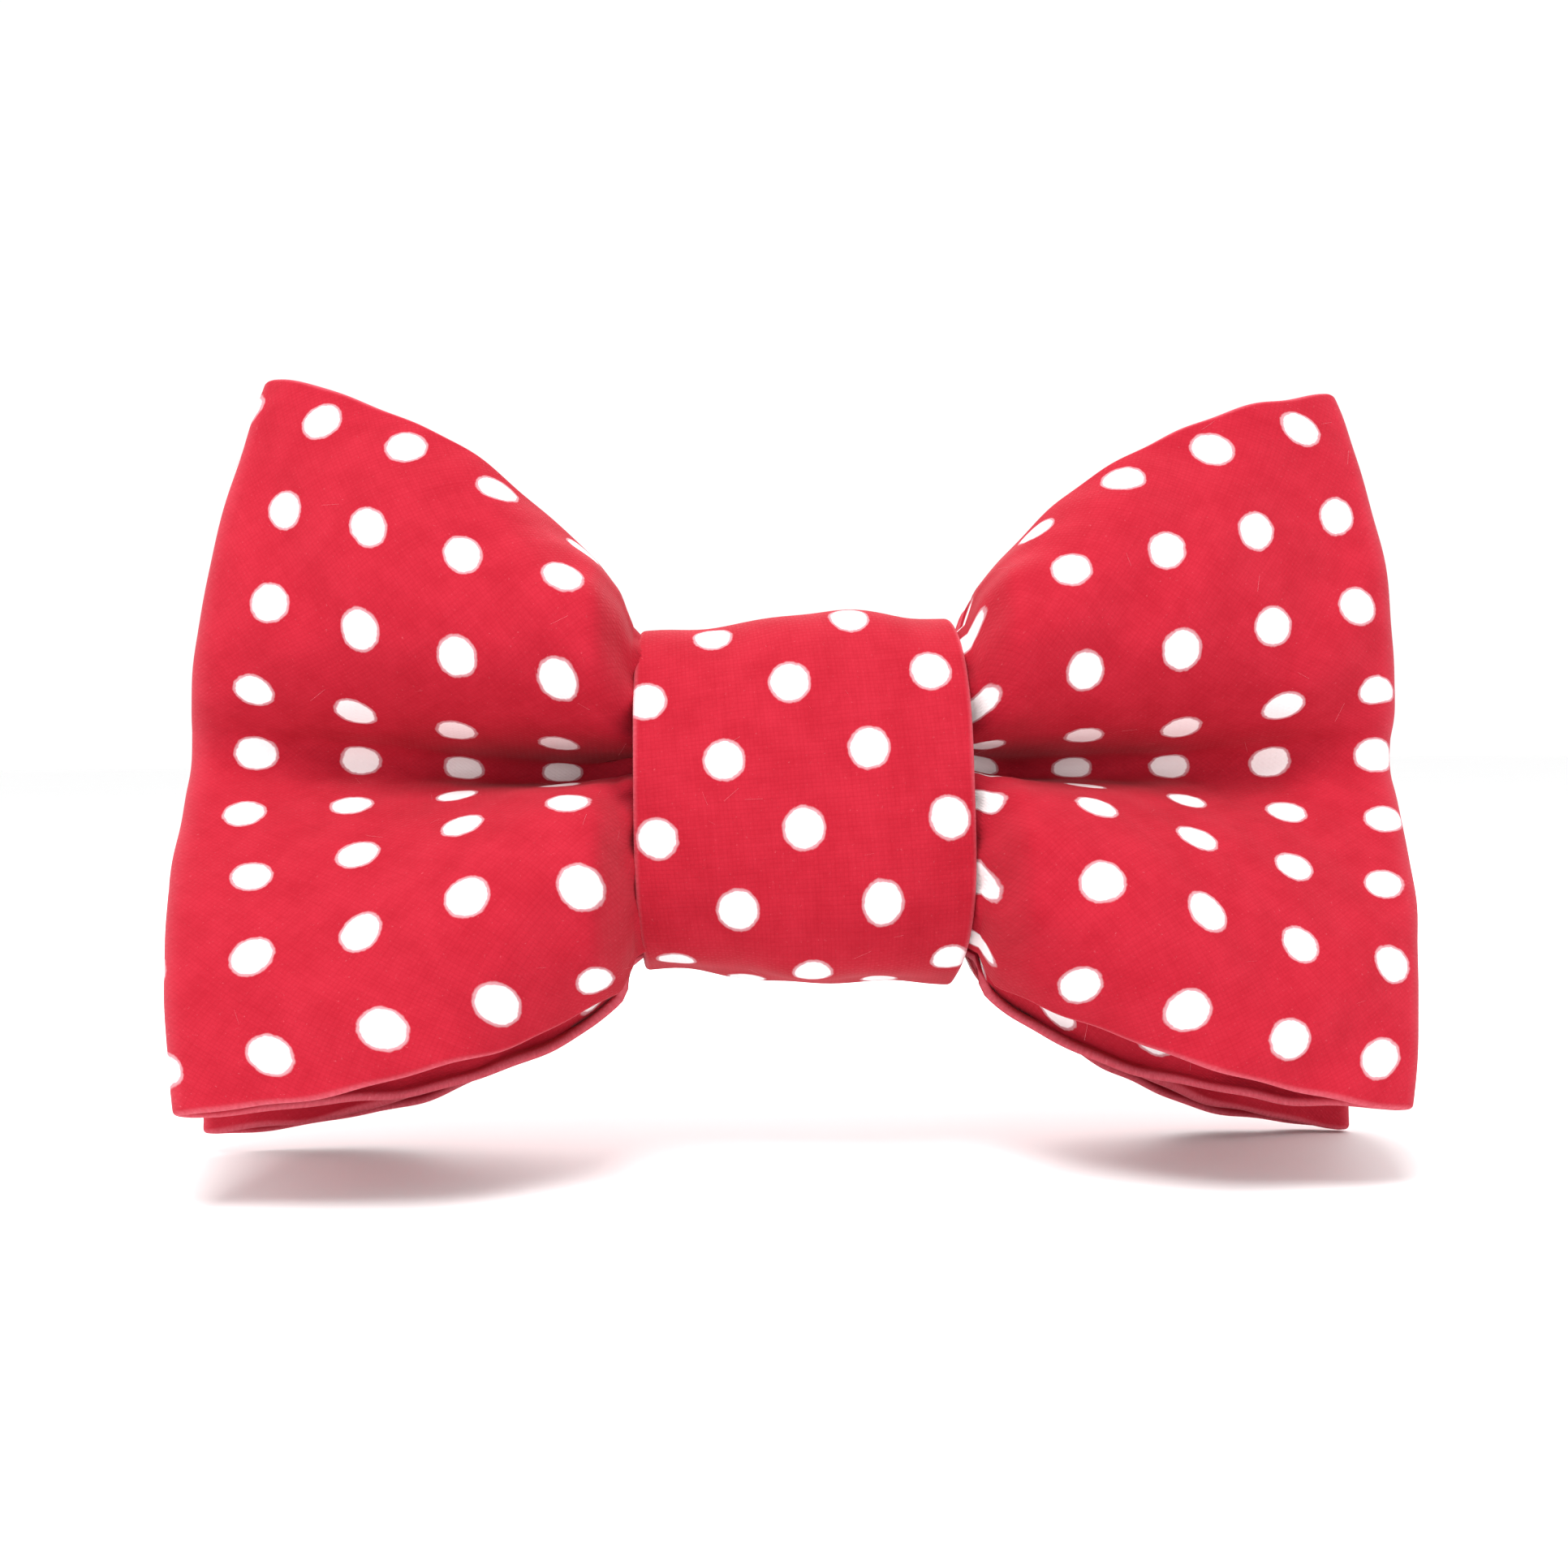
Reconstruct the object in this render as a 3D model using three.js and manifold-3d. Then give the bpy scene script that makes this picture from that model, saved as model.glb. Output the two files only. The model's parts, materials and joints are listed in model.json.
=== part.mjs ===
// A pre-tied bow tie on a clip, in millimetres, +Z up, standing on a table and facing -Y.
// Two looped cotton bands, one behind the other, are gathered by thread and held by a centre wrap.
// A steel clip plate is caught under the back of the wrap, with a sprung jaw at each end for the collar.
//
// The tie is built upright in its own frame: X across, Y from front to back, Z along its height.
// The outer group leans it back onto its rear bow and sets it down on Z = 0.

import * as THREE from "three";
import { mergeVertices } from "three/addons/utils/BufferGeometryUtils.js";
import Module from "manifold-3d";

const wasm = await Module();
wasm.setup();

// ---------------------------------------------------------------- driving sizes

const LEAN = THREE.MathUtils.degToRad(14); // how far the tie leans back from upright

// The bows
const BOW_WIDTH = 122; // front bow, across its outer folds at mid height
const REAR_BOW_INSET = 4.5; // how much shorter each side of the rear bow is
const TOP_CORNER = 38.4; // height of the upper corners over the wings' middle
const BOTTOM_CORNER = 36; // depth of the front bow's lower corners under it
const REAR_BOTTOM_CORNER = 38.6; // depth of the rear bow's lower corners
const TOP_FULLNESS = 1.9; // how fast the upper edge rises from the wrap: higher is rounder
const BOTTOM_FULLNESS = 2.5;
const REAR_BOTTOM_FULLNESS = 1.7;
const REAR_BOW_DROP = 0.6; // the rear bow sits this much lower
const CORNER_PULL = 0.08; // corners stand this share of the half width inside the middle
const WING_TWIST = 0.1; // upper corners lie back, and the front's lower ones forward, by this share
const REAR_LOWER_TWIST = 0.01; // the same for the rear bow's lower corners
const LOBE_DEPTH = 9.5; // front bow's puffed lobes, from valley to crest
const FRONT_FACE_DEPTH = -7; // each layer's place from front to back at its outer folds
const FRONT_BACK_DEPTH = -1.6;
const REAR_FACE_DEPTH = 1.7;
const REAR_BACK_DEPTH = 9;
const REAR_REACH = 14.8; // how far back the rear bow's lower lobe, the foot it stands on, comes
const REAR_UPPER_REACH = 10.5; // how far back its upper lobe comes
const GATHERED_HEIGHT = 28.8; // band width where it is squeezed inside the wrap
const LEAVING_TOP = 12.9; // upper edge just outside the wrap, over the wings' middle
const LEAVING_BOTTOM = 22.8; // lower edge just outside the wrap
const WAIST_DROP = 5; // the gathered waist sits this much below the wings' middle
const WAIST_LOBE = 6; // the front lobes' depth inside the wrap
const REAR_WAIST_LOBE = 1.5; // the back layer's lobes inside the wrap

// The band, a flattened cotton tube with a stiffener inside
const CLEARANCE = 0.3; // between pieces that touch
const CLOTH_THICKNESS = 0.3;
const INTERFACING_THICKNESS = 0.3;
const LAYER_GAP = 0.4; // between one layer and the next where they are gathered
const EDGE_TURNING = 0.6; // cloth folded at the band's long edges
const STIFFENER_INSET = EDGE_TURNING + 2 * CLEARANCE; // from the band's edge to the stiffener's
const BAND_HOLLOW = INTERFACING_THICKNESS + 2 * CLEARANCE;
const BAND_THICKNESS = BAND_HOLLOW + 2 * CLOTH_THICKNESS;
const LAYER_PITCH = BAND_THICKNESS + LAYER_GAP;
const BAND_END = 0.008; // share of a layer's length left open where the loop's ends meet
const STIFFENER_END = 0.018; // the same for the stiffener

// The centre wrap
const WRAP_WIDTH = 33.5;
const WRAP_THICKNESS = 1.2;
const WRAP_LAP = 9; // how far the wrap's end passes over its start, at the back
const WRAP_CORNER = 3.4; // inside radius of the wrap's top and bottom turns
const WRAP_INTERFACING = 0.35;
const GATHER_THREAD = 0.5; // diameter
const GATHER_TURNS = 3;

// The clip
const PLATE_WIDTH = 9;
const PLATE_MARGIN = 1.5; // how far the plate passes the jaw's tip
const STEEL = 0.8; // sheet thickness
const EAR_LENGTH = 6;
const EAR_STANDOFF = 3.25; // from the wrap's edge to the ears
const PIN_RADIUS = 0.7;
const PIN_HEAD_LIP = 0.3; // how far the pin's head passes its hole
const PIN_HEIGHT = 3.6; // hinge axis above the plate's back face
const HINGE_WALL = 0.9; // steel left round a jaw's pin hole
const EAR_LIP = 0.8; // steel left round the pin's head
const JAW_REACH = 10.5; // from the hinge to the gripping end
const JAW_WIDTH = 6.4;
const JAW_TAB = 9.5; // thumb tab, from the hinge towards the middle
const JAW_TAB_LIFT = 4.4; // height of the tab's end above the hinge
const SPRING_WIRE = 0.5;
const SPRING_SLACK = 0.5; // between the pin and the coil
const SPRING_TURNS = 3;
const GRIP_THICKNESS = 0.7;

const PIN_X = WRAP_WIDTH / 2 + EAR_STANDOFF + EAR_LENGTH / 2; // hinge axis, from the middle
const PIN_HOLE_RADIUS = PIN_RADIUS + CLEARANCE;
const PIN_HEAD_RADIUS = PIN_HOLE_RADIUS + PIN_HEAD_LIP;
const PLATE_LENGTH = 2 * (PIN_X + JAW_REACH + PLATE_MARGIN);
const SPRING_RADIUS = PIN_RADIUS + SPRING_SLACK + SPRING_WIRE / 2;

// ---------------------------------------------------------------- finishes

const cotton = new THREE.MeshStandardMaterial({ color: 0xcf2038, roughness: 0.9 });
const interfacing = new THREE.MeshStandardMaterial({ color: 0xe9e4da, roughness: 1 });
const thread = new THREE.MeshStandardMaterial({ color: 0xb81c32, roughness: 0.8 });
const nickel = new THREE.MeshStandardMaterial({ color: 0xc3c5c8, roughness: 0.3, metalness: 1 });
const springSteel = new THREE.MeshStandardMaterial({ color: 0x9b9ea3, roughness: 0.35, metalness: 1 });
const nylon = new THREE.MeshStandardMaterial({ color: 0x1b1b1d, roughness: 0.6 });

// ---------------------------------------------------------------- small helpers

const mix = (a, b, share) => a + (b - a) * share;
const { smoothstep, clamp } = THREE.MathUtils;

function meshOf(name, geometry, material) {
  const mesh = new THREE.Mesh(geometry, material);
  mesh.name = name;
  return mesh;
}

// A closed surface from its points and triangles, turned so that its faces point out.
function closedGeometry(points, triangles) {
  const volume = triangles.reduce((sum, [a, b, c]) => {
    const cross = new THREE.Vector3().crossVectors(points[b], points[c]);
    return sum + points[a].dot(cross);
  }, 0);
  const order = volume < 0 ? ([a, b, c]) => [a, c, b] : (triangle) => triangle;
  const geometry = new THREE.BufferGeometry().setFromPoints(points);
  geometry.setIndex(triangles.flatMap(order));
  return geometry;
}

function toSolid(geometry) {
  const bare = geometry.clone();
  bare.deleteAttribute("normal");
  bare.deleteAttribute("uv");
  const merged = mergeVertices(bare, 1e-4);
  const vertProperties = new Float32Array(merged.attributes.position.array);
  const triVerts = new Uint32Array(merged.index.array);
  return new wasm.Manifold(new wasm.Mesh({ numProp: 3, vertProperties, triVerts }));
}

function toGeometry(solid) {
  const { vertProperties, triVerts } = solid.getMesh();
  const geometry = new THREE.BufferGeometry();
  geometry.setAttribute("position", new THREE.BufferAttribute(vertProperties, 3));
  geometry.setIndex(new THREE.BufferAttribute(triVerts, 1));
  return geometry;
}

// A tube of round wire or thread along a smooth line through the points.
function wire(points, diameter, steps, sides) {
  const circle = new THREE.Shape().absarc(0, 0, diameter / 2, 0, Math.PI * 2);
  const extrudePath = new THREE.CatmullRomCurve3(points, false, "centripetal");
  return new THREE.ExtrudeGeometry(circle, { steps, curveSegments: sides, extrudePath });
}

// ---------------------------------------------------------------- strips of cloth

// Points of a strip's middle surface and its normals: surface(station, across) gives a point.
function sampleStrip(surface, stations, acrosses) {
  const step = 1e-3;
  return stations.map((station) =>
    acrosses.map((across) => {
      const point = surface(station, across);
      const along = surface(station + step, across).sub(surface(station - step, across));
      const over = surface(station, across + step).sub(surface(station, across - step));
      return { point, normal: along.cross(over).normalize() };
    }),
  );
}

// One closed ring of points round each station: up one face of the strip and down the other.
function ringsOf(samples, halfThickness) {
  return samples.map((row) => {
    const shifted = (side) =>
      row.map(({ point, normal }) => point.clone().addScaledVector(normal, side * halfThickness));
    return [...shifted(1), ...shifted(-1).reverse()];
  });
}

// Two triangles for the corners a, b, c, d in order, split from a to c, or from b to d if turned.
function quads(a, b, c, d, turned = false) {
  return turned
    ? [
        [a, b, d],
        [b, c, d],
      ]
    : [
        [a, b, c],
        [a, c, d],
      ];
}

// The side faces of a stack of rings, whose first vertex is number start. Both faces of the strip
// are split the same way, and the second half of the stack mirrors the first.
function ringSides(start, rings) {
  const around = rings[0].length;
  return rings.slice(1).flatMap((_, i) =>
    rings[0].flatMap((__, j) => {
      const next = (j + 1) % around;
      const low = start + i * around;
      const turned = j >= around / 2 !== i >= (rings.length - 1) / 2;
      return quads(low + j, low + next, low + around + next, low + around + j, turned);
    }),
  );
}

// A solid strip, closed at both ends.
function solidStrip(surface, stations, acrosses, thickness) {
  const rings = ringsOf(sampleStrip(surface, stations, acrosses), thickness / 2);
  const around = rings[0].length;
  const caps = [0, rings.length - 1].flatMap((i) =>
    acrosses.slice(1).flatMap((_, j) => {
      const [a, b] = [j, j + 1].map((k) => i * around + k);
      const [c, d] = [j + 1, j].map((k) => i * around + around - 1 - k);
      return i === 0 ? quads(a, d, c, b) : quads(a, b, c, d);
    }),
  );
  return closedGeometry(rings.flat(), [...ringSides(0, rings), ...caps]);
}

// A flattened tube: an outer skin and a flat hollow inside it, open at both ends.
function hollowStrip(surface, stations, acrosses, hollowAcrosses, thickness, hollowThickness) {
  const outer = ringsOf(sampleStrip(surface, stations, acrosses), thickness / 2);
  const inner = ringsOf(sampleStrip(surface, stations, hollowAcrosses), hollowThickness / 2);
  const around = outer[0].length;
  const innerStart = outer.length * around;
  const flipped = ringSides(innerStart, inner).map(([a, b, c]) => [a, c, b]);
  const ends = [0, outer.length - 1].flatMap((i) =>
    outer[0].flatMap((_, j) => {
      const next = (j + 1) % around;
      const out = i * around;
      const face = quads(out + j, innerStart + out + j, innerStart + out + next, out + next);
      return i === 0 ? face : face.map(([a, b, c]) => [a, c, b]);
    }),
  );
  return closedGeometry([...outer, ...inner].flat(), [...ringSides(0, outer), ...flipped, ...ends]);
}

// ---------------------------------------------------------------- the looped bows

const WRAP_HALF = WRAP_WIDTH / 2;
const WAIST_END = WRAP_HALF + CLEARANCE; // where a wing may start to widen

const WAIST_SHARE = 0.28; // share of a layer's length that lies inside the wrap

// Share of the way from the wrap's edge to the outer fold.
const wingShare = (x, halfWidth) => clamp((x - WAIST_END) / (halfWidth - WAIST_END), 0, 1);

const EDGES = {
  top: { side: 1, leaving: LEAVING_TOP, corner: TOP_CORNER, fullness: TOP_FULLNESS },
  bottom: { side: -1, leaving: LEAVING_BOTTOM, corner: BOTTOM_CORNER, fullness: BOTTOM_FULLNESS },
  rearBottom: {
    side: -1,
    leaving: LEAVING_BOTTOM,
    corner: REAR_BOTTOM_CORNER,
    fullness: REAR_BOTTOM_FULLNESS,
  },
};

// Height of a band's edge at distance x from the middle.
function edgeHeight(x, halfWidth, { side, leaving, corner, fullness }) {
  const spread = 1 - (1 - wingShare(x, halfWidth)) ** fullness;
  const gathered = (side * GATHERED_HEIGHT) / 2 - WAIST_DROP;
  const widened = smoothstep(x, WAIST_END, WAIST_END + 2);
  return mix(gathered, side * mix(leaving, corner, spread), widened);
}

// A lobe's cross-section: 0 in the central valley, 1 on the crest, edgeShare at the band's edge.
function lobe(across, edgeFall) {
  return Math.sin((Math.PI * Math.abs(across) ** 0.9) / (1 + edgeFall)) ** 1.5;
}

// Each layer's depth at distance x from the middle and place across the band, before the twist.
// waistLevel is the place across the band that is level with the middle of the wrap and the clip.
const waistDepth = (layer) => (layer - 1.5) * LAYER_PITCH; // layers 0 to 3, front to back

const SWOLLEN = 0.45; // share of the wing where the rear lobes are full
const FALLING = 0.78; // share where they start to run out towards the fold

const LAYERS = {
  frontFace: {
    depth(x, across, share) {
      const grown = smoothstep(x, WAIST_END, WAIST_END + 3);
      const fading = (1 - share) ** 0.8 * (1 + 1.2 * share);
      const crest = mix(WAIST_LOBE, LOBE_DEPTH, grown) * fading;
      const valley = mix(waistDepth(0), FRONT_FACE_DEPTH, smoothstep(share, 0.25, 1));
      return valley - crest * lobe(across, 0.25);
    },
  },
  frontBack: { depth: (x, across, share) => mix(waistDepth(1), FRONT_BACK_DEPTH, share) },
  rearFace: { depth: (x, across, share) => mix(waistDepth(2), REAR_FACE_DEPTH, share) },
  rearBack: {
    depth(x, across, share, waistLevel) {
      const fromWaist = across - waistLevel;
      const lower = fromWaist < 0;
      const swell = smoothstep(share, 0, SWOLLEN) * (1 - smoothstep(share, FALLING, 1));
      const valley = mix(waistDepth(3), REAR_BACK_DEPTH, smoothstep(share, SWOLLEN, 1));
      const reach = (lower ? REAR_REACH : REAR_UPPER_REACH) - valley;
      const crest = mix(REAR_WAIST_LOBE * (1 - share), reach, swell);
      const edgeFall = lower ? mix(0.2, 0.9, swell) : 0.2;
      return valley + crest * lobe(fromWaist / (lower ? 1 + waistLevel : 1 - waistLevel), edgeFall) ** 1.4;
    },
  },
};

// The middle surface of a looped band. Stations run 0..1 along the back layer from the middle to a fold,
// 1..2 round the fold and 2..3 along the front layer to the middle; the mirror image completes the loop.
function loopSurface({ front, back, lowerEdge, lowerTwist, halfWidth, drop }) {
  const place = (layer, x, across, reach) => {
    const share = wingShare(x, reach);
    const [top, bottom] = [EDGES.top, lowerEdge].map((edge) => edgeHeight(x, reach, edge));
    const middle = (top + bottom) / 2;
    const half = (top - bottom) / 2;
    const height = middle + across * half - drop;
    const waistLevel = (-WAIST_DROP - middle) / half;
    const flat = layer.depth(x, across, share, waistLevel);
    const twist = height > 0 ? WING_TWIST : lowerTwist;
    return { depth: flat + twist * height * share ** 2, height };
  };
  return (station, across) => {
    const half = station <= 3 ? 1 : -1;
    const leg = half === 1 ? station : 6 - station;
    const reach = halfWidth * (1 - CORNER_PULL * Math.abs(across) ** 2.2);
    const nearFold = [front, back].map((layer) => place(layer, reach, across, reach));
    const radius = (nearFold[1].depth - nearFold[0].depth) / 2;
    const foldX = reach - radius;
    const wingLength = foldX - WAIST_END;
    if (leg >= 1 && leg <= 2) {
      const turn = (leg - 1) * Math.PI;
      const centre = (nearFold[0].depth + nearFold[1].depth) / 2;
      return new THREE.Vector3(
        half * (foldX + radius * Math.sin(turn)),
        centre + radius * Math.cos(turn),
        nearFold[0].height,
      );
    }
    const along = leg < 1 ? leg : 3 - leg;
    const outOfWaist = Math.max(along - WAIST_SHARE, 0) / (1 - WAIST_SHARE);
    const inWaist = Math.min(along / WAIST_SHARE, 1) * WAIST_END;
    const layer = leg < 1 ? back : front;
    const shaped = inWaist + outOfWaist * (reach - WAIST_END);
    const { depth, height } = place(layer, shaped, across, reach);
    return new THREE.Vector3(half * (inWaist + outOfWaist * wingLength), depth, height);
  };
}

// Places along one layer, as shares of its length: close together where the wing leaves the wrap.
const LAYER_STATIONS = [0.15, WAIST_SHARE, 0.32, 0.38, 0.47, 0.58, 0.7, 0.83, 0.93];
const FOLD_STEPS = 4;
const ACROSS_STEPS = 8;

function loopStations(endGap) {
  const leg = [endGap, ...LAYER_STATIONS];
  const fold = Array.from({ length: FOLD_STEPS + 1 }, (_, i) => 1 + i / FOLD_STEPS);
  const half = [...leg, ...fold, ...LAYER_STATIONS.map((s) => 3 - s).reverse()];
  return [...half, 3, ...half.map((s) => 6 - s).reverse()];
}

// Places across a band, with one near each edge for each inset, outermost first. Nested strips share
// their inner places, so that they stay parallel.
function acrossBand(...insets) {
  const edges = insets.map((inset) => 1 - inset / (GATHERED_HEIGHT / 2));
  const between = Array.from({ length: ACROSS_STEPS - 1 }, (_, i) => (2 * (i + 1)) / ACROSS_STEPS - 1);
  return [...edges.map((edge) => -edge), ...between, ...edges.reverse()];
}

// A bow is a cotton tube and the stiffener inside it, both following the same loop.
function bow(prefix, shape) {
  const surface = loopSurface(shape);
  const bandGeometry = hollowStrip(
    surface,
    loopStations(BAND_END),
    acrossBand(0, STIFFENER_INSET),
    acrossBand(EDGE_TURNING, STIFFENER_INSET),
    BAND_THICKNESS,
    BAND_HOLLOW,
  );
  const stiffenerGeometry = solidStrip(
    surface,
    loopStations(STIFFENER_END),
    acrossBand(STIFFENER_INSET),
    INTERFACING_THICKNESS,
  );
  return [
    meshOf(prefix + "_bow_band", bandGeometry, cotton),
    meshOf(prefix + "_bow_interfacing", stiffenerGeometry, interfacing),
  ];
}

const frontBow = bow("front", {
  front: LAYERS.frontFace,
  back: LAYERS.frontBack,
  lowerEdge: EDGES.bottom,
  lowerTwist: WING_TWIST,
  halfWidth: BOW_WIDTH / 2,
  drop: 0,
});
const rearBow = bow("rear", {
  front: LAYERS.rearFace,
  back: LAYERS.rearBack,
  lowerEdge: EDGES.rearBottom,
  lowerTwist: REAR_LOWER_TWIST,
  halfWidth: BOW_WIDTH / 2 - REAR_BOW_INSET,
  drop: REAR_BOW_DROP,
});

// ---------------------------------------------------------------- what goes round the waist

// The gathered stack's own outline inside the wrap.
const STACK_FRONT = waistDepth(0) - WAIST_LOBE - BAND_THICKNESS / 2;
const STACK_BACK = waistDepth(3) + REAR_WAIST_LOBE + BAND_THICKNESS / 2;
const STACK_HALF_HEIGHT = (GATHERED_HEIGHT + BAND_THICKNESS) / 2 + REAR_BOW_DROP + CLEARANCE;

// A rounded outline round the stack, grown outwards, as a point at a share of one turn.
// It starts at the middle of the back, goes over the top, down the front and back underneath.
function aroundWaist(turnShare, grown, grownBack = grown) {
  const half = STACK_HALF_HEIGHT + grown;
  const front = STACK_FRONT - grown;
  const back = STACK_BACK + grownBack;
  const radius = WRAP_CORNER + grown;
  const depth = back - front;
  const centre = (front + back) / 2;
  const outline = new THREE.Path();
  const [right, top] = [depth / 2, half];
  outline.moveTo(right, 0);
  outline.lineTo(right, top - radius);
  outline.absarc(right - radius, top - radius, radius, 0, Math.PI / 2);
  outline.lineTo(radius - right, top);
  outline.absarc(radius - right, top - radius, radius, Math.PI / 2, Math.PI);
  outline.lineTo(-right, radius - top);
  outline.absarc(radius - right, radius - top, radius, Math.PI, Math.PI * 1.5);
  outline.lineTo(right - radius, -top);
  outline.absarc(right - radius, radius - top, radius, Math.PI * 1.5, Math.PI * 2);
  outline.lineTo(right, 0);
  const share = turnShare - Math.floor(turnShare);
  const place = outline.getPointAt(share);
  return new THREE.Vector3(0, centre + place.x, place.y - WAIST_DROP);
}

function gatherThread() {
  const grown = CLEARANCE + GATHER_THREAD / 2;
  const perTurn = 28;
  const pitch = GATHER_THREAD + 2 * CLEARANCE;
  const points = Array.from({ length: GATHER_TURNS * perTurn + 1 }, (_, i) => {
    const turns = i / perTurn;
    const point = aroundWaist(turns, grown);
    return point.setX((turns - GATHER_TURNS / 2) * pitch);
  });
  return meshOf("gather_thread", wire(points, GATHER_THREAD, points.length, 3), thread);
}

const THREAD_OUT = CLEARANCE + GATHER_THREAD;
const PLATE_FACE = STACK_BACK + THREAD_OUT + CLEARANCE; // front face of the clip plate
const INSIDE_WRAP_BACK = PLATE_FACE + STEEL + CLEARANCE - STACK_BACK; // room behind the stack

// A strip across the waist, wound once round it. lap is how far its end passes over its start.
function woundStrip(thickness, grown, grownBack, width, lap, steps) {
  const chords = 40;
  const perimeter = Array.from({ length: chords }, (_, i) => i / chords).reduce((sum, share) => {
    const here = aroundWaist(share, grown, grownBack);
    return sum + here.distanceTo(aroundWaist(share + 1 / chords, grown, grownBack));
  }, 0);
  const lapShare = lap / perimeter;
  const start = -lapShare / 2;
  const last = lap > 0 ? 1 + lapShare / 2 : 1 - CLEARANCE / perimeter;
  const rise = thickness + CLEARANCE;
  const surface = (turn, across) => {
    const raised = lap > 0 ? rise * smoothstep(turn, 1 - 2 * lapShare, 1 - lapShare / 2 - 0.01) : 0;
    const point = aroundWaist(turn, grown + thickness / 2 + raised, grownBack + thickness / 2 + raised);
    return point.setX((across * width) / 2);
  };
  const stations = Array.from({ length: steps + 1 }, (_, i) => mix(start, last, i / steps));
  return solidStrip(surface, stations, [-1, 0, 1], thickness);
}

const wrapLining = woundStrip(
  WRAP_INTERFACING,
  THREAD_OUT + CLEARANCE,
  INSIDE_WRAP_BACK,
  WRAP_WIDTH - 2,
  0,
  56,
);
const LINING_OUT = WRAP_INTERFACING + CLEARANCE;
const centreWrap = woundStrip(
  WRAP_THICKNESS,
  THREAD_OUT + CLEARANCE + LINING_OUT,
  INSIDE_WRAP_BACK + LINING_OUT,
  WRAP_WIDTH,
  WRAP_LAP,
  72,
);
const WRAP_BACK_FACE = STACK_BACK + INSIDE_WRAP_BACK + LINING_OUT + 2 * WRAP_THICKNESS + CLEARANCE;

// A whip stitch that holds the wrap's end down, lying along the lap's edge.
function closingStitch() {
  const stitches = 7;
  const span = WRAP_WIDTH - 8;
  const points = Array.from({ length: 2 * stitches + 1 }, (_, i) => {
    const x = (i / (2 * stitches) - 0.5) * span;
    const side = i % 2 === 0 ? 1 : -1;
    return new THREE.Vector3(x, WRAP_BACK_FACE + CLEARANCE + 0.2, -WAIST_DROP + 1.4 * side);
  });
  return meshOf("wrap_closing_stitch", wire(points, 0.4, 42, 3), thread);
}

// ---------------------------------------------------------------- the clip

const PLATE_BACK = PLATE_FACE + STEEL;
const PIN_Y = PLATE_BACK + PIN_HEIGHT;
const EAR_GAP = JAW_WIDTH / 2 + CLEARANCE; // inside of each ear, from the clip's middle

// A flat blank in X and Z, thickness along Y from its front face.
function sheet(shape, front, thickness = STEEL) {
  const settings = { depth: thickness, bevelEnabled: false, curveSegments: 4 };
  const geometry = new THREE.ExtrudeGeometry(shape, settings);
  geometry.rotateX(Math.PI / 2);
  geometry.translate(0, front + thickness, 0);
  return geometry;
}

function roundedBar(length, width, radius) {
  const [right, top] = [length / 2, width / 2];
  const shape = new THREE.Shape();
  shape.moveTo(-right + radius, -top);
  shape.lineTo(right - radius, -top);
  shape.absarc(right - radius, radius - top, radius, -Math.PI / 2, 0);
  shape.absarc(right - radius, top - radius, radius, 0, Math.PI / 2);
  shape.lineTo(radius - right, top);
  shape.absarc(radius - right, top - radius, radius, Math.PI / 2, Math.PI);
  shape.absarc(radius - right, radius - top, radius, Math.PI, Math.PI * 1.5);
  return shape;
}

// A plate whose outline is drawn in X and Y, standing across Z from low to low + thickness.
function solidCheek(shape, low, thickness) {
  const geometry = new THREE.ExtrudeGeometry(shape, {
    depth: thickness,
    bevelEnabled: false,
    curveSegments: 6,
  });
  geometry.translate(0, 0, low);
  return toSolid(geometry);
}

function pinHole(x, y, radius) {
  const hole = new THREE.Path();
  hole.absarc(x, y, radius, 0, Math.PI * 2, true);
  return hole;
}

// An ear: it rises from the plate's edge and carries the pin.
function earShape(side) {
  const x = side * PIN_X;
  const round = PIN_HEAD_RADIUS + EAR_LIP;
  const shape = new THREE.Shape();
  shape.moveTo(x - EAR_LENGTH / 2, PLATE_BACK - STEEL / 2);
  shape.lineTo(x + EAR_LENGTH / 2, PLATE_BACK - STEEL / 2);
  shape.lineTo(x + round, PIN_Y);
  shape.absarc(x, PIN_Y, round, 0, Math.PI);
  shape.lineTo(x - EAR_LENGTH / 2, PLATE_BACK - STEEL / 2);
  shape.holes.push(pinHole(x, PIN_Y, PIN_HOLE_RADIUS));
  return shape;
}

function clipPlate() {
  const bar = roundedBar(PLATE_LENGTH, PLATE_WIDTH, 1.6);
  let solid = toSolid(sheet(bar, PLATE_FACE));
  for (const side of [-1, 1]) {
    for (const low of [-EAR_GAP - STEEL, EAR_GAP]) {
      solid = solid.add(solidCheek(earShape(side), low, STEEL));
    }
  }
  return meshOf("clip_plate", toGeometry(solid), nickel);
}

const JAW_BACK = PIN_Y + SPRING_RADIUS + SPRING_WIRE / 2 + CLEARANCE + STEEL; // over the coil
const GRIP_FACE = PLATE_BACK + CLEARANCE; // where the closed grip meets the plate

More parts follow.
